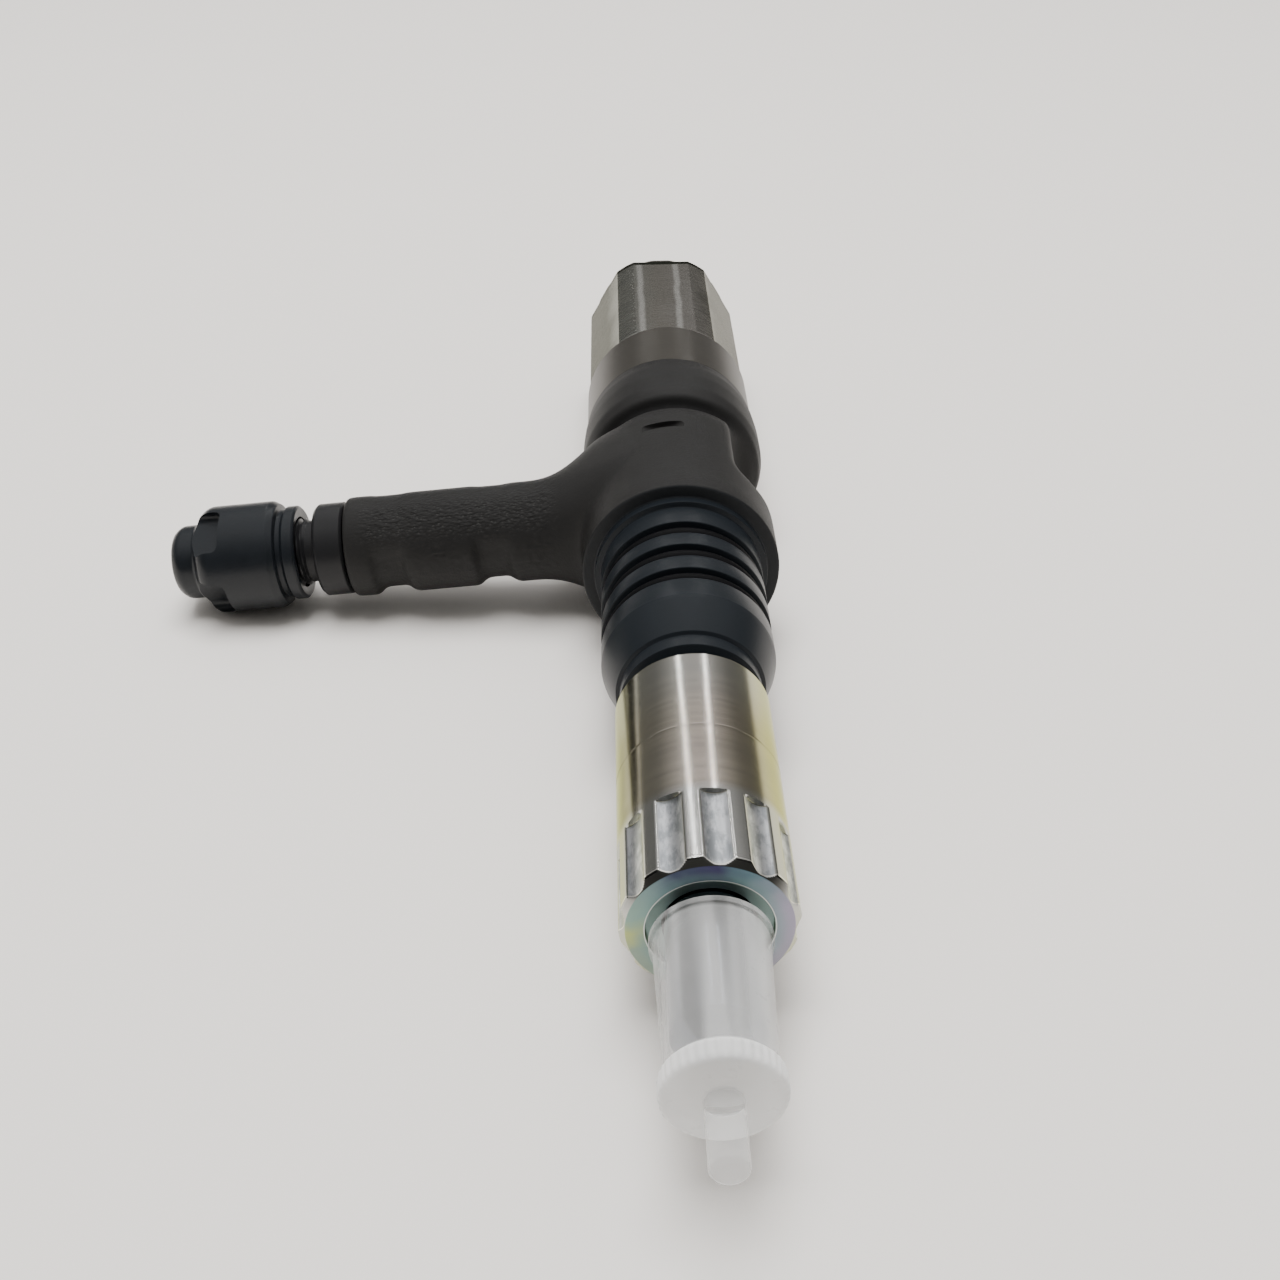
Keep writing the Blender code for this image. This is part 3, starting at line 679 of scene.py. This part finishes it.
def arm_ring(along, sides):
    """One section of the forging across the arm, which swells towards its root."""
    flare = min(1.0, max(0.0, (30.0 - along) / 13.5)) ** 2
    half_height = ARM_R + 8.3 * (1.0 - smooth(4.0, 31.0, along))
    square = 2.0 / (2.0 + 1.4 * (1.0 - smooth(9.0, 27.0, along)))
    points = []
    for k in range(sides):
        angle = math.tau * k / sides
        across, up = math.cos(angle), math.sin(angle)
        near_low = max(0.0, math.cos(angle - math.radians(235)))
        draw = 1.0 - arm_relief(along) * min(1.0, max(0.16, 2.2 * near_low)) / ARM_R
        half_width = ARM_R + (8.5 if across > 0.0 else 1.2) * flare
        points.append((
            math.copysign(abs(across) ** square, across) * half_width * draw,
            along,
            math.copysign(abs(up) ** square, up) * half_height * draw,
        ))
    return points


def box(name, low, high):
    deselect_all()
    bpy.ops.mesh.primitive_cube_add(size=1.0, location=[middle(a, b) for a, b in zip(low, high)])
    block = bpy.context.object
    block.name = name
    block.scale = [b - a for a, b in zip(low, high)]
    bpy.ops.object.transform_apply(location=True, rotation=True, scale=True)
    return block


def forged_blank():
    """The forging's skin: collar, neck, head and arm, joined and softened as one."""
    stations = [6.0 + 1.1 * k for k in range(1 + int((ARM_END - 7.0) / 1.1))] + [ARM_END - 0.5, ARM_END]
    rings = []
    for along in stations:
        points = arm_ring(along, 72)
        if along == ARM_END:
            points = [(x * 0.955, y, z * 0.955) for x, y, z in points]
        rings.append(points)
    arm = lofted("forged_arm", rings)
    settle(arm, ARM_PLACE)
    trunk = turned("trunk", [
        (0.0, 103.0), (COLLAR_R, 103.0, 0.0), (COLLAR_R, 133.0, 10.0), (NECK_R, 137.8, 2.0),
        (NECK_R, 138.9, 1.0), (HEAD_R - 0.9, 139.8, 0.8), (HEAD_R, 143.4, 4.0),
        (HEAD_R, 150.0, 6.0), (19.9, 154.9, 6.0), (19.45, 157.6, 0.0), (0.0, 157.6),
    ], 144)
    combine(trunk, arm, "UNION")
    recess = box("clamp_recess", (RECESS_X, RECESS_Y, -24.0), (27.0, HEAD_START + 0.3, 24.0))
    apply_modifier(recess, "BEVEL", width=4.0, segments=5)
    combine(trunk, recess)
    apply_modifier(trunk, "REMESH", mode="VOXEL", voxel_size=0.5, adaptivity=0.0)
    soften(trunk, "root", 60, lambda p: smooth(11.0, 16.0, -p.x) * (1.0 - smooth(24.0, 30.0, -p.x))
           * smooth(104.5, 107.0, p.y) * (1.0 - smooth(141.0, 144.0, p.y)))
    soften(trunk, "edge", 40, lambda p: smooth(8.0, 12.0, p.x) * (1.0 - smooth(17.0, 19.5, p.x))
           * smooth(109.0, 112.0, p.y) * (1.0 - smooth(139.0, 141.0, p.y)))
    soften(trunk, "skin", 9, lambda p: smooth(103.5, 105.5, p.y) * (1.0 - smooth(156.5, 157.4, p.y)))
    crinkle(trunk)
    return trunk


def soften(piece, name, repeats, weight):
    group = piece.vertex_groups.new(name=name)
    for vertex in piece.data.vertices:
        amount = weight(vertex.co)
        if amount > 0.0:
            group.add([vertex.index], amount, "REPLACE")
    apply_modifier(piece, "SMOOTH", factor=0.5, iterations=repeats, vertex_group=name)


def crinkle(piece):
    """Raises the scale-like wrinkles that the die left along the arm's near side."""
    for vertex in piece.data.vertices:
        p = vertex.co
        out = Vector((0.0, p.y - ARM_STATION, p.z))
        if p.x > -20.0 or out.length < 1.0:
            continue
        out.normalize()
        facing = smooth(0.1, 0.85, out.dot(Vector((0.0, -0.80, 0.60))))
        reach = smooth(22.0, 28.0, -p.x) * (1.0 - smooth(64.0, 68.0, -p.x))
        if facing * reach <= 0.0:
            continue
        ripple = noise.turbulence(Vector((p.x * 0.9, p.y * 2.0, p.z * 2.0)), 4, False)
        patch = 0.5 + 0.5 * noise.noise(p * 0.16)
        vertex.co += out * (0.34 * facing * reach * patch * (ripple - 0.45))


def body_outline():
    """The machined length of the body, solid, from its nose to the end of the solenoid's spigot."""
    outline = [
        (0.0, 26.7), (9.0, 26.7), (9.0, 30.2), (10.4, 30.8), (11.0, 31.6), (11.0, 54.8), (12.9, 55.3),
        (12.9, 58.2), (13.6, 58.5), (BARREL_R - 0.25, 65.3, 1.2), (BARREL_R, 66.4, 1.0),
    ]
    for centre, width in SEALS:
        floor = SEAL_OUTER_R - 2 * seal_wire(width) - 0.3
        low, high = centre - width / 2, centre + width / 2
        outline += [(BARREL_R, low, 0.2), (floor, low, 0.4), (floor, high, 0.4), (BARREL_R, high, 0.2)]
    outline += [
        (BARREL_R + 0.05, 97.0, 0.3), (17.4, 97.2, 0.15), (17.4, 98.8, 0.25), (17.7, 99.0, 0.1),
        (COLLAR_R, 99.0, 0.5), (COLLAR_R, 104.2, 0.0), (12.7, 104.2, 0.0), (12.7, 157.0, 0.0),
        (19.5, 157.0, 0.0), (19.4, HEAD_END, 0.08), (15.5, HEAD_END, 0.2), (15.5, 184.0, 0.4), (0.0, 184.0),
    ]
    return outline


def bore_outline():
    """Every room on the body's axis: spring room, piston guide, valve room and armature room."""
    return [
        (0.0, 20.0), (5.6, 20.0, 0.0), (5.6, 56.0, 0.0), (2.6, 56.0, 0.0), (2.6, 149.0, 0.0),
        (9.2, 149.0, 0.0), (9.2, 163.0, 0.0), (12.6, 163.0, 0.0), (12.6, 190.0, 0.0), (0.0, 190.0),
    ]


class INJECTOR_OT_body(bpy.types.Operator):
    """Model the forged body with its inlet arm, barrel and grooves"""

    bl_idname = "injector.body"
    bl_label = "Body"

    def execute(self, context):
        body = forged_blank()
        combine(body, turned("machined_length", body_outline(), 192), "UNION")
        combine(body, turned("axis_bores", bore_outline(), 64))
        passage = turned("inlet_bore", [
            (0.0, 1.0), (1.2, 1.0, 0.0), (1.2, 54.3, 0.0), (6.4, 54.7, 0.0), (6.4, 80.0, 0.0), (0.0, 80.0),
        ], 64)
        settle(passage, ARM_PLACE)
        combine(body, passage)
        notch_r = 9.0
        notch = turned("neck_notch", [
            (0.0, 124.4), (notch_r, 124.4, 0.2), (notch_r, 126.8, 0.8), (0.0, 126.8),
        ], 96)
        settle(notch, Matrix.Translation((-1.6, 0.0, COLLAR_R + notch_r - 1.8)))
        combine(body, notch)
        body.name = "forged_body"
        finish_piece(
            body, INJECTOR, "injector", FINISHES["forging"], ["injector_body"], level=False
        )
        return {"FINISHED"}


class INJECTOR_OT_seals(bpy.types.Operator):
    """Model the rubber rings of the barrel and the solenoid"""

    bl_idname = "injector.seals"
    bl_label = "Seal rings"

    def execute(self, context):
        rings = [
            ("barrel_seal_" + place, SEAL_OUTER_R - seal_wire(width), centre, seal_wire(width))
            for place, (centre, width) in zip(("lower", "middle", "upper"), SEALS)
        ]
        rings.append(("housing_seal", 14.55, 193.1, 0.95))
        for node, centre_r, y, wire in rings:
            section = []
            for k in range(20):
                angle = math.tau * k / 20
                reach = wire * (MOULD_FLASH if k % 10 == 0 else 1.0)
                section.append((centre_r + reach * math.cos(angle), y + reach * math.sin(angle)))
            seal = turned(node + "_ring", section, 128, 0.0)
            finish_piece(seal, INJECTOR, "injector", FINISHES["rubber"], [node])
        return {"FINISHED"}


NUT_R = 13.75
NUT_FACE_R = 12.7
NUT_CHAMFER = 1.05
NUT_LENGTH = 52.0
FLUTES = 12
FLUTE_END = 16.0


def flute_limit(angle, y, radius):
    """The nut's radius inside its flutes, which end in a short run-out."""
    if y > FLUTE_END + 0.01 or radius < 12.0:
        return radius
    across = from_nearest(angle, FLUTES, math.radians(10))
    cutter_r, floor = 3.9, NUT_R - 0.9
    centre = floor + cutter_r
    sideways = centre * math.sin(across)
    if abs(sideways) >= cutter_r:
        return radius
    return centre * math.cos(across) - math.sqrt(cutter_r**2 - sideways**2)


class INJECTOR_OT_retaining_nut(bpy.types.Operator):
    """Model the fluted nut that holds the nozzle"""

    bl_idname = "injector.retaining_nut"
    bl_label = "Retaining nut"

    def execute(self, context):
        chamfer = [(NUT_FACE_R + NUT_CHAMFER * k / 6, NUT_CHAMFER * k / 6, 0.0) for k in range(7)]
        outline = [
            (7.2, 1.2), (9.7, 1.2), (9.7, 0.0, 0.1), (12.6, 0.0, 0.1), *chamfer, (NUT_R, 6.0, 0.0),
            (NUT_R, 11.0, 0.0), (NUT_R, FLUTE_END - 0.3, 0.0), (NUT_R, FLUTE_END, 0.0),
            (NUT_R, FLUTE_END + 0.12, 0.0), (NUT_R, 31.8, 0.0), (NUT_R - 0.06, 31.95, 0.0),
            (NUT_R - 0.06, 32.15, 0.0), (NUT_R, 32.3, 0.0), (NUT_R, 51.4, 0.25),
            (NUT_R - 0.6, NUT_LENGTH, 0.1), (11.3, NUT_LENGTH), (11.3, 26.4), (9.2, 26.4),
            (9.2, 7.0), (7.2, 7.0),
        ]
        nut = turned("nozzle_nut", outline, FLUTES * 24)
        trim(nut, flute_limit)
        finish_piece(
            nut, INJECTOR, "injector", FINISHES["nut"], ["nozzle_retaining_nut"], angle=28
        )
        return {"FINISHED"}


class INJECTOR_OT_nozzle(bpy.types.Operator):
    """Model the nozzle body with its spray holes"""

    bl_idname = "injector.nozzle"
    bl_label = "Nozzle"

    def execute(self, context):
        outline = [
            (0.0, -26.3), (1.2, -25.9, 0.7), (1.9, -24.9, 0.3), (4.4, -22.7, 0.3), (6.9, -20.4, 0.3),
            (6.9, -6.4, 0.0), (6.82, -6.3, 0.0), (6.82, -5.9, 0.0), (6.9, -5.8, 0.0), (6.9, 7.3), (8.9, 7.3),
            (8.9, 20.0), (3.4, 20.0), (3.4, -2.0), (2.3, -4.0), (2.3, -21.5), (1.1, -23.6), (0.0, -23.8),
        ]
        nozzle = turned("nozzle_tip_body", outline, 96)
        for k in range(8):
            deselect_all()
            turn = math.tau * k / 8
            out = Vector((math.sin(turn), -0.42, math.cos(turn))).normalized()
            bpy.ops.mesh.primitive_cylinder_add(
                vertices=12, radius=0.11, depth=0.9, location=Vector((0, -25.25, 0)) + out * 1.65,
                rotation=out.to_track_quat("Z", "Y").to_euler(),
            )
            combine(nozzle, bpy.context.object)
        finish_piece(nozzle, INJECTOR, "injector", FINISHES["nozzle"], ["nozzle_body"])
        return {"FINISHED"}


class INJECTOR_OT_nozzle_cap(bpy.types.Operator):
    """Model the clear push-on cap with its knurled disc and nib"""

    bl_idname = "injector.nozzle_cap"
    bl_label = "Nozzle cap"

    def execute(self, context):
        outline = [
            (0.0, -42.2), (2.3, -42.2, 0.4), (2.8, -41.5, 0.4), (2.8, -31.0, 0.4), (8.9, -31.0, 1.1),
            (8.9, -27.6, 0.9), (7.9, -27.6, 0.4), (8.8, -3.6, 0.2),
            (9.34, -3.4, 0.15), (9.34, -2.3, 0.15), (7.95, -2.3, 0.15), (7.05, -26.6, 0.4), (6.6, -26.8, 0.3),
            (0.0, -26.8),
        ]
        teeth = context.scene.injector_caps.knurls
        cap = turned("clear_nozzle_cap", outline, teeth * 6)

        def knurl(angle, y, radius):
            if not -31.2 < y < -27.3 or radius < 8.4:
                return radius
            return 8.79 + 0.11 * math.cos(angle * teeth)

        trim(cap, knurl)
        finish_piece(
            cap, INJECTOR, "nozzle_cap", FINISHES["clear"], ["nozzle_protective_cap"],
            angle=50,
        )
        return {"FINISHED"}


HOUSING_R = 18.83
HOUSING_FLAT = 17.4
HOUSING_TURN = math.radians(4.7)


def hexagon(flat, inner_r):
    """A limit for trim: six flats at a distance from the axis. Within the inner radius it stays round."""
    return lambda angle, y, radius: flat / math.cos(from_nearest(angle, 6)) if radius > inner_r else radius


class INJECTOR_OT_housing(bpy.types.Operator):
    """Model the solenoid's hexagonal housing and the union ring before it"""

    bl_idname = "injector.housing"
    bl_label = "Solenoid housing"

    def execute(self, context):
        band = turned("union_band", [
            (15.9, 159.5), (19.3, 159.5, 0.06), (19.3, 177.4, 0.3), (18.9, 178.0, 0.2),
            (15.9, 178.0),
        ], 192)
        finish_piece(band, INJECTOR, "injector", FINISHES["band"], ["solenoid_union_ring"])
        outline = [
            (15.9, 178.3), (18.3, 178.3, 0.1), (HOUSING_R, 178.8, 0.1), (HOUSING_R, 190.0, 0.0),
            (HOUSING_R, 214.0, 0.0), (HOUSING_R, 224.6, 0.1), (17.5, 225.7, 0.1), (16.8, 226.0, 0.2),
            (12.2, 226.0, 0.2), (11.6, 225.5), (11.6, 216.0), (15.9, 216.0),
        ]
        housing = turned("hex_housing", outline, 240)
        trim(housing, hexagon(HOUSING_FLAT, 16))
        turn = Matrix.Rotation(HOUSING_TURN, 4, "Y")
        finish_piece(
            housing, INJECTOR @ turn, "injector", FINISHES["housing"], ["solenoid_housing"],
            angle=12,
        )
        return {"FINISHED"}


def thread_limit(outer, depth, pitch, start, end):
    """A helical thread's radius, with flat crests and roots that run out at both ends."""

    def limit(angle, y, radius):
        if not start < y < end or radius < outer - depth - 0.05:
            return radius
        phase = ((y / pitch) - angle / math.tau) % 1.0
        tooth = min(1.0, max(0.0, 2.2 * abs(2.0 * phase - 1.0) - 0.6))
        return outer - depth * (1.0 - tooth)

    return limit


def threaded_run(outer, start, end, spacing):
    """Outline points close enough together to carry a thread."""
    count = int(abs(end - start) / spacing)
    return [(outer, start + (end - start) * k / count, 0.0) for k in range(count + 1)]


class INJECTOR_OT_terminals(bpy.types.Operator):
    """Model the terminal block with its studs, washers and nuts"""

    bl_idname = "injector.terminals"
    bl_label = "Terminals"

    def execute(self, context):
        block = turned("moulded_terminal_block", [
            (0.0, 188.0), (15.5, 188.0), (15.5, 191.6), (13.3, 191.6), (13.3, 194.6), (15.5, 194.6),
            (15.5, 215.6, 0.3), (11.2, 215.6), (11.2, 228.0, 0.3), (10.8, 228.4, 0.2), (10.8, 231.4, 0.4),
            (10.2, 232.0, 0.3), (0.0, 232.0),
        ], 120)
        half = 5.5
        for x in (-half, half):
            combine(block, rod("terminal_well", 2.3, 222.0, 234.0, 32, x))
        finish_piece(
            block, INJECTOR, "injector", FINISHES["block"], ["terminal_block"]
        )
        for side, x in (("left", -half), ("right", half)):
            place = INJECTOR @ Matrix.Translation((x, 0, 0))
            outer, pitch = 1.95, 0.7
            stud = turned("threaded_stud_" + side, [
                (0.0, 222.4), (1.7, 222.4), *threaded_run(outer, 222.8, 237.5, pitch / 8),
                (1.5, 238.0), (0.0, 238.0),
            ], 32)
            trim(stud, thread_limit(outer, 0.38, pitch, 223.0, 237.6))
            finish_piece(
                stud, place, "injector", FINISHES["brass"], ["terminal_stud_" + side]
            )
            washer = turned("flat_washer_" + side, ring(2.3, 4.5, 232.3, 233.0), 64, 0.1)
            finish_piece(
                washer, place, "injector", FINISHES["bright"], ["terminal_washer_" + side]
            )
            nut = turned("hex_nut_" + side, [
                (2.3, 233.3), (3.4, 233.3), (4.04, 233.7, 0.0), (4.04, 234.5, 0.0), (4.04, 236.1, 0.0),
                (3.4, 236.5), (2.3, 236.5),
            ], 96, 0.08)
            trim(nut, hexagon(3.5, 3))
            finish_piece(
                nut, place, "injector", FINISHES["bright"], ["terminal_nut_" + side], angle=20
            )
        return {"FINISHED"}


class INJECTOR_OT_inlet_connector(bpy.types.Operator):
    """Model the connector screwed into the arm, with its thread and sealing cone"""

    bl_idname = "injector.inlet_connector"
    bl_label = "Inlet connector"

    def execute(self, context):
        outer, pitch = 7.2, 1.5
        outline = [
            (2.6, 56.8), (6.0, 56.8), (6.0, 70.6), (9.3, 70.6, 0.2), (9.9, 71.1, 0.2), (9.9, 76.3, 0.4),
            (9.3, 77.0, 0.3), (6.7, 77.0, 0.3), (6.6, 79.2, 0.3), *threaded_run(outer, 79.8, 94.0, pitch / 8),
            (6.3, 94.7, 0.2), (4.6, 94.7, 0.2), (1.4, 90.3), (1.4, 85.7), (2.6, 85.3),
        ]
        connector = turned("screwed_inlet_connector", outline, 96)
        trim(connector, thread_limit(outer, 0.75, pitch, 79.7, 94.05))
        finish_piece(
            connector, INLET, "injector", FINISHES["connector"], ["inlet_connector"]
        )
        return {"FINISHED"}


CAP_R = 11.5
FIRST_GRIP = -115  # degrees about the cap's axis to its first wrench flat


class INJECTOR_OT_inlet_cap(bpy.types.Operator):
    """Model the black push-on cap of the inlet"""

    bl_idname = "injector.inlet_cap"
    bl_label = "Inlet cap"

    def execute(self, context):
        outline = [
            (0.0, 96.6), (7.6, 96.6), (7.6, 81.0), (9.5, 80.8, 0.3), (10.05, 81.3, 0.3), (10.05, 83.2, 0.4),
            (9.6, 83.7, 0.2), (9.3, 83.8, 0.2), (9.3, 84.9, 0.3), (10.7, 85.0, 0.4), (CAP_R, 86.4, 1.2),
            (CAP_R, 99.8, 3.0), (10.3, 101.5, 2.5), (8.4, 102.5, 1.2), (7.9, 103.2, 0.6), (7.9, 106.4, 2.4),
            (6.6, 108.0, 2.0), (5.2, 108.3, 1.5), (0.0, 108.3),
        ]
        cap = turned("black_inlet_cap", outline, 144, 0.2)
        flat, half_width = 8.05, 5.2
        for k in range(4):
            grip = box("cap_flat", (-half_width, 96.4, flat), (half_width, 112.0, flat + 8.0))
            apply_modifier(grip, "BEVEL", width=1.6, segments=5)
            settle(grip, Matrix.Rotation(math.radians(FIRST_GRIP - 90 * k), 4, "Y"))
            combine(cap, grip)
        finish_piece(
            cap, INLET, "inlet_cap", FINISHES["plastic"], ["inlet_protective_cap"], angle=30
        )
        return {"FINISHED"}


INSIDE = {
    "hard": (
        "distance_piece", "pressure_pin", "valve_body", "valve_retaining_ring", "armature", "solenoid_core",
    ),
    "bright": (
        "nozzle_needle", "locating_pin_left", "locating_pin_right", "spring_shim", "command_piston",
        "orifice_plate", "valve_ball", "valve_spring_shim", "inlet_edge_filter",
    ),
    "copper": ("solenoid_coil", "inlet_sealing_ring"),
    "spring": ("nozzle_spring", "valve_spring"),
}


class INJECTOR_OT_inside(bpy.types.Operator):
    """Give the pieces inside the injector their metal finishes"""

    bl_idname = "injector.inside"
    bl_label = "Inside pieces"

    def execute(self, context):
        for finish, nodes in INSIDE.items():
            for node in nodes:
                mesh = frame["nodes"][node].data
                mesh.materials.clear()
                mesh.materials.append(FINISHES[finish])
        return {"FINISHED"}


# ---------- stage ----------


SENSOR_MM = 36.0
LENS_MM = 42.1875
CAMERA_HEADING = -1.0
CAMERA_PITCH = 35.0
CAMERA_ROLL = -0.007
TUBE_SIDE = 0.46
TUBE_Y = 1.85
TUBE_Z = 1.2
TUBE_SIZE = (0.015, 2.4)
TUBE_TURN = math.atan(0.216)
OVERHEAD_SIZE = (1.3, 0.8)
RANGE_INPUTS = ("From Min", "From Max", "To Min", "To Max")
ROOM_BY_HEIGHT = (0.30, 0.95, 0.19, 1.15)
ROOM_BY_DEPTH = (-0.75, 0.1, 0.42, 1.0)


def soft_light(name, place, target, size, power):
    lamp = bpy.data.lights.new(name, "AREA")
    lamp.shape = "RECTANGLE"
    lamp.size, lamp.size_y = size
    lamp.energy = power
    stand = bpy.data.objects.new(name, lamp)
    bpy.context.scene.collection.objects.link(stand)
    stand.location = place
    stand.rotation_euler = (Vector(target) - Vector(place)).to_track_quat("-Z", "Y").to_euler()
    return stand


def room_world(stage):
    """A plain room: brightest overhead, dim low at the far wall and dimmer behind the camera."""
    world = bpy.data.worlds.new("room")
    world.use_nodes = True
    tree = world.node_tree
    way = tree.nodes.new("ShaderNodeTexCoord")
    parts = tree.nodes.new("ShaderNodeSeparateXYZ")
    tree.links.new(way.outputs["Generated"], parts.inputs[0])

    def level(axis, limits):
        made = tree.nodes.new("ShaderNodeMapRange")
        made.interpolation_type = "SMOOTHSTEP"
        tree.links.new(parts.outputs[axis], made.inputs["Value"])
        for key, value in zip(RANGE_INPUTS, limits):
            made.inputs[key].default_value = value
        return made.outputs[0]

    def multiplied(value):
        made = tree.nodes.new("ShaderNodeMath")
        made.operation = "MULTIPLY"
        tree.links.new(value, made.inputs[0])
        return made

    light = multiplied(level("Z", ROOM_BY_HEIGHT))
    tree.links.new(level("Y", ROOM_BY_DEPTH), light.inputs[1])
    power = multiplied(light.outputs[0])
    power.inputs[1].default_value = stage.sky_strength
    sky = tree.nodes["Background"]
    tree.links.new(power.outputs[0], sky.inputs["Strength"])
    sky.inputs["Color"].default_value = (1.0, 0.985, 0.96, 1.0)
    return world


class INJECTOR_OT_stage(bpy.types.Operator):
    """Set the plain floor, the soft light and the camera"""

    bl_idname = "injector.stage"
    bl_label = "Stage"

    def execute(self, context):
        stage = context.scene.injector_stage
        deselect_all()
        bpy.ops.mesh.primitive_plane_add(size=6.0, location=(0, 1.2, 0))
        floor = context.object
        floor.name = "floor"
        paper = Finish("pale_floor", roughness=0.62, specular_ior_level=0.25)
        place = paper.node("ShaderNodeTexCoord", None, None, "Object")
        tone = paper.noise(place, 9.0, 4.0, 0.6)
        warm = tuple(stage.floor_colour)
        paper.feed("Base Color", paper.mix(tone, shade(warm, 0.985), shade(warm, 1.01)))
        paper.feed("Normal", paper.bump(paper.noise(place, 260.0, 3.0), 0.00004, 0.5))
        floor.data.materials.append(paper.material)
        context.scene.world = room_world(stage)
        for side, turn in (("left", 1.0), ("right", -1.0)):
            place = (SEAT.x - turn * TUBE_SIDE, TUBE_Y, TUBE_Z)
            tube = soft_light("tube_" + side, place, (0.0, 0.0, 0.0), TUBE_SIZE, stage.tube_power)
            tube.rotation_euler = (0.0, 0.0, turn * TUBE_TURN)
        overhead = soft_light(
            "overhead", (SEAT.x - 0.1, 0.12, 1.7), (SEAT.x, 0.06, 0.0), OVERHEAD_SIZE, stage.key_power
        )
        overhead.visible_glossy = False  # of the lights, only the tubes show in the metal
        lens = bpy.data.cameras.new("camera")
        lens.sensor_width = SENSOR_MM
        lens.lens = LENS_MM
        lens.clip_start = 0.01
        camera = bpy.data.objects.new("camera", lens)
        context.scene.collection.objects.link(camera)
        camera.location = (
            SEAT.x - stage.camera_side, SEAT.y - stage.camera_distance, SEAT.z + stage.camera_height
        )
        heading = Matrix.Rotation(math.radians(CAMERA_HEADING), 3, "Z")
        pitch = Matrix.Rotation(math.radians(90.0 - CAMERA_PITCH), 3, "X")
        camera.rotation_euler = (heading @ pitch @ Matrix.Rotation(CAMERA_ROLL, 3, "Z")).to_euler()
        context.scene.camera = camera
        return {"FINISHED"}


# ---------- add-on ----------

OPERATORS = (
    INJECTOR_OT_stage, INJECTOR_OT_body, INJECTOR_OT_seals, INJECTOR_OT_retaining_nut, INJECTOR_OT_nozzle,
    INJECTOR_OT_nozzle_cap, INJECTOR_OT_housing, INJECTOR_OT_terminals, INJECTOR_OT_inlet_connector,
    INJECTOR_OT_inlet_cap, INJECTOR_OT_inside,
)


class INJECTOR_PT_panel(bpy.types.Panel):
    bl_idname = "INJECTOR_PT_panel"
    bl_label = "Fuel Injector"
    bl_space_type = "VIEW_3D"
    bl_region_type = "UI"
    bl_category = "Injector"

    def draw(self, context):
        scene = context.scene
        for group in (scene.injector_steel, scene.injector_caps, scene.injector_stage):
            for name in group.bl_rna.properties.keys():
                if name not in ("rna_type", "name"):
                    self.layout.prop(group, name)
        for operator in OPERATORS:
            self.layout.operator(operator.bl_idname)


GROUPS = (InjectorSteelSettings, InjectorCapSettings, InjectorStageSettings)
CLASSES = (*GROUPS, *OPERATORS, INJECTOR_PT_panel)


def register():
    for item in CLASSES:
        bpy.utils.register_class(item)
    bpy.types.Scene.injector_steel = PointerProperty(type=InjectorSteelSettings)
    bpy.types.Scene.injector_caps = PointerProperty(type=InjectorCapSettings)
    bpy.types.Scene.injector_stage = PointerProperty(type=InjectorStageSettings)


def unregister():
    del bpy.types.Scene.injector_stage
    del bpy.types.Scene.injector_caps
    del bpy.types.Scene.injector_steel
    for item in reversed(CLASSES):
        bpy.utils.unregister_class(item)


def main():
    register()
    make_finishes(bpy.context.scene)
    for operator in OPERATORS:
        group, name = operator.bl_idname.split(".")
        getattr(getattr(bpy.ops, group), name)()


if __name__ == "__main__":
    main()
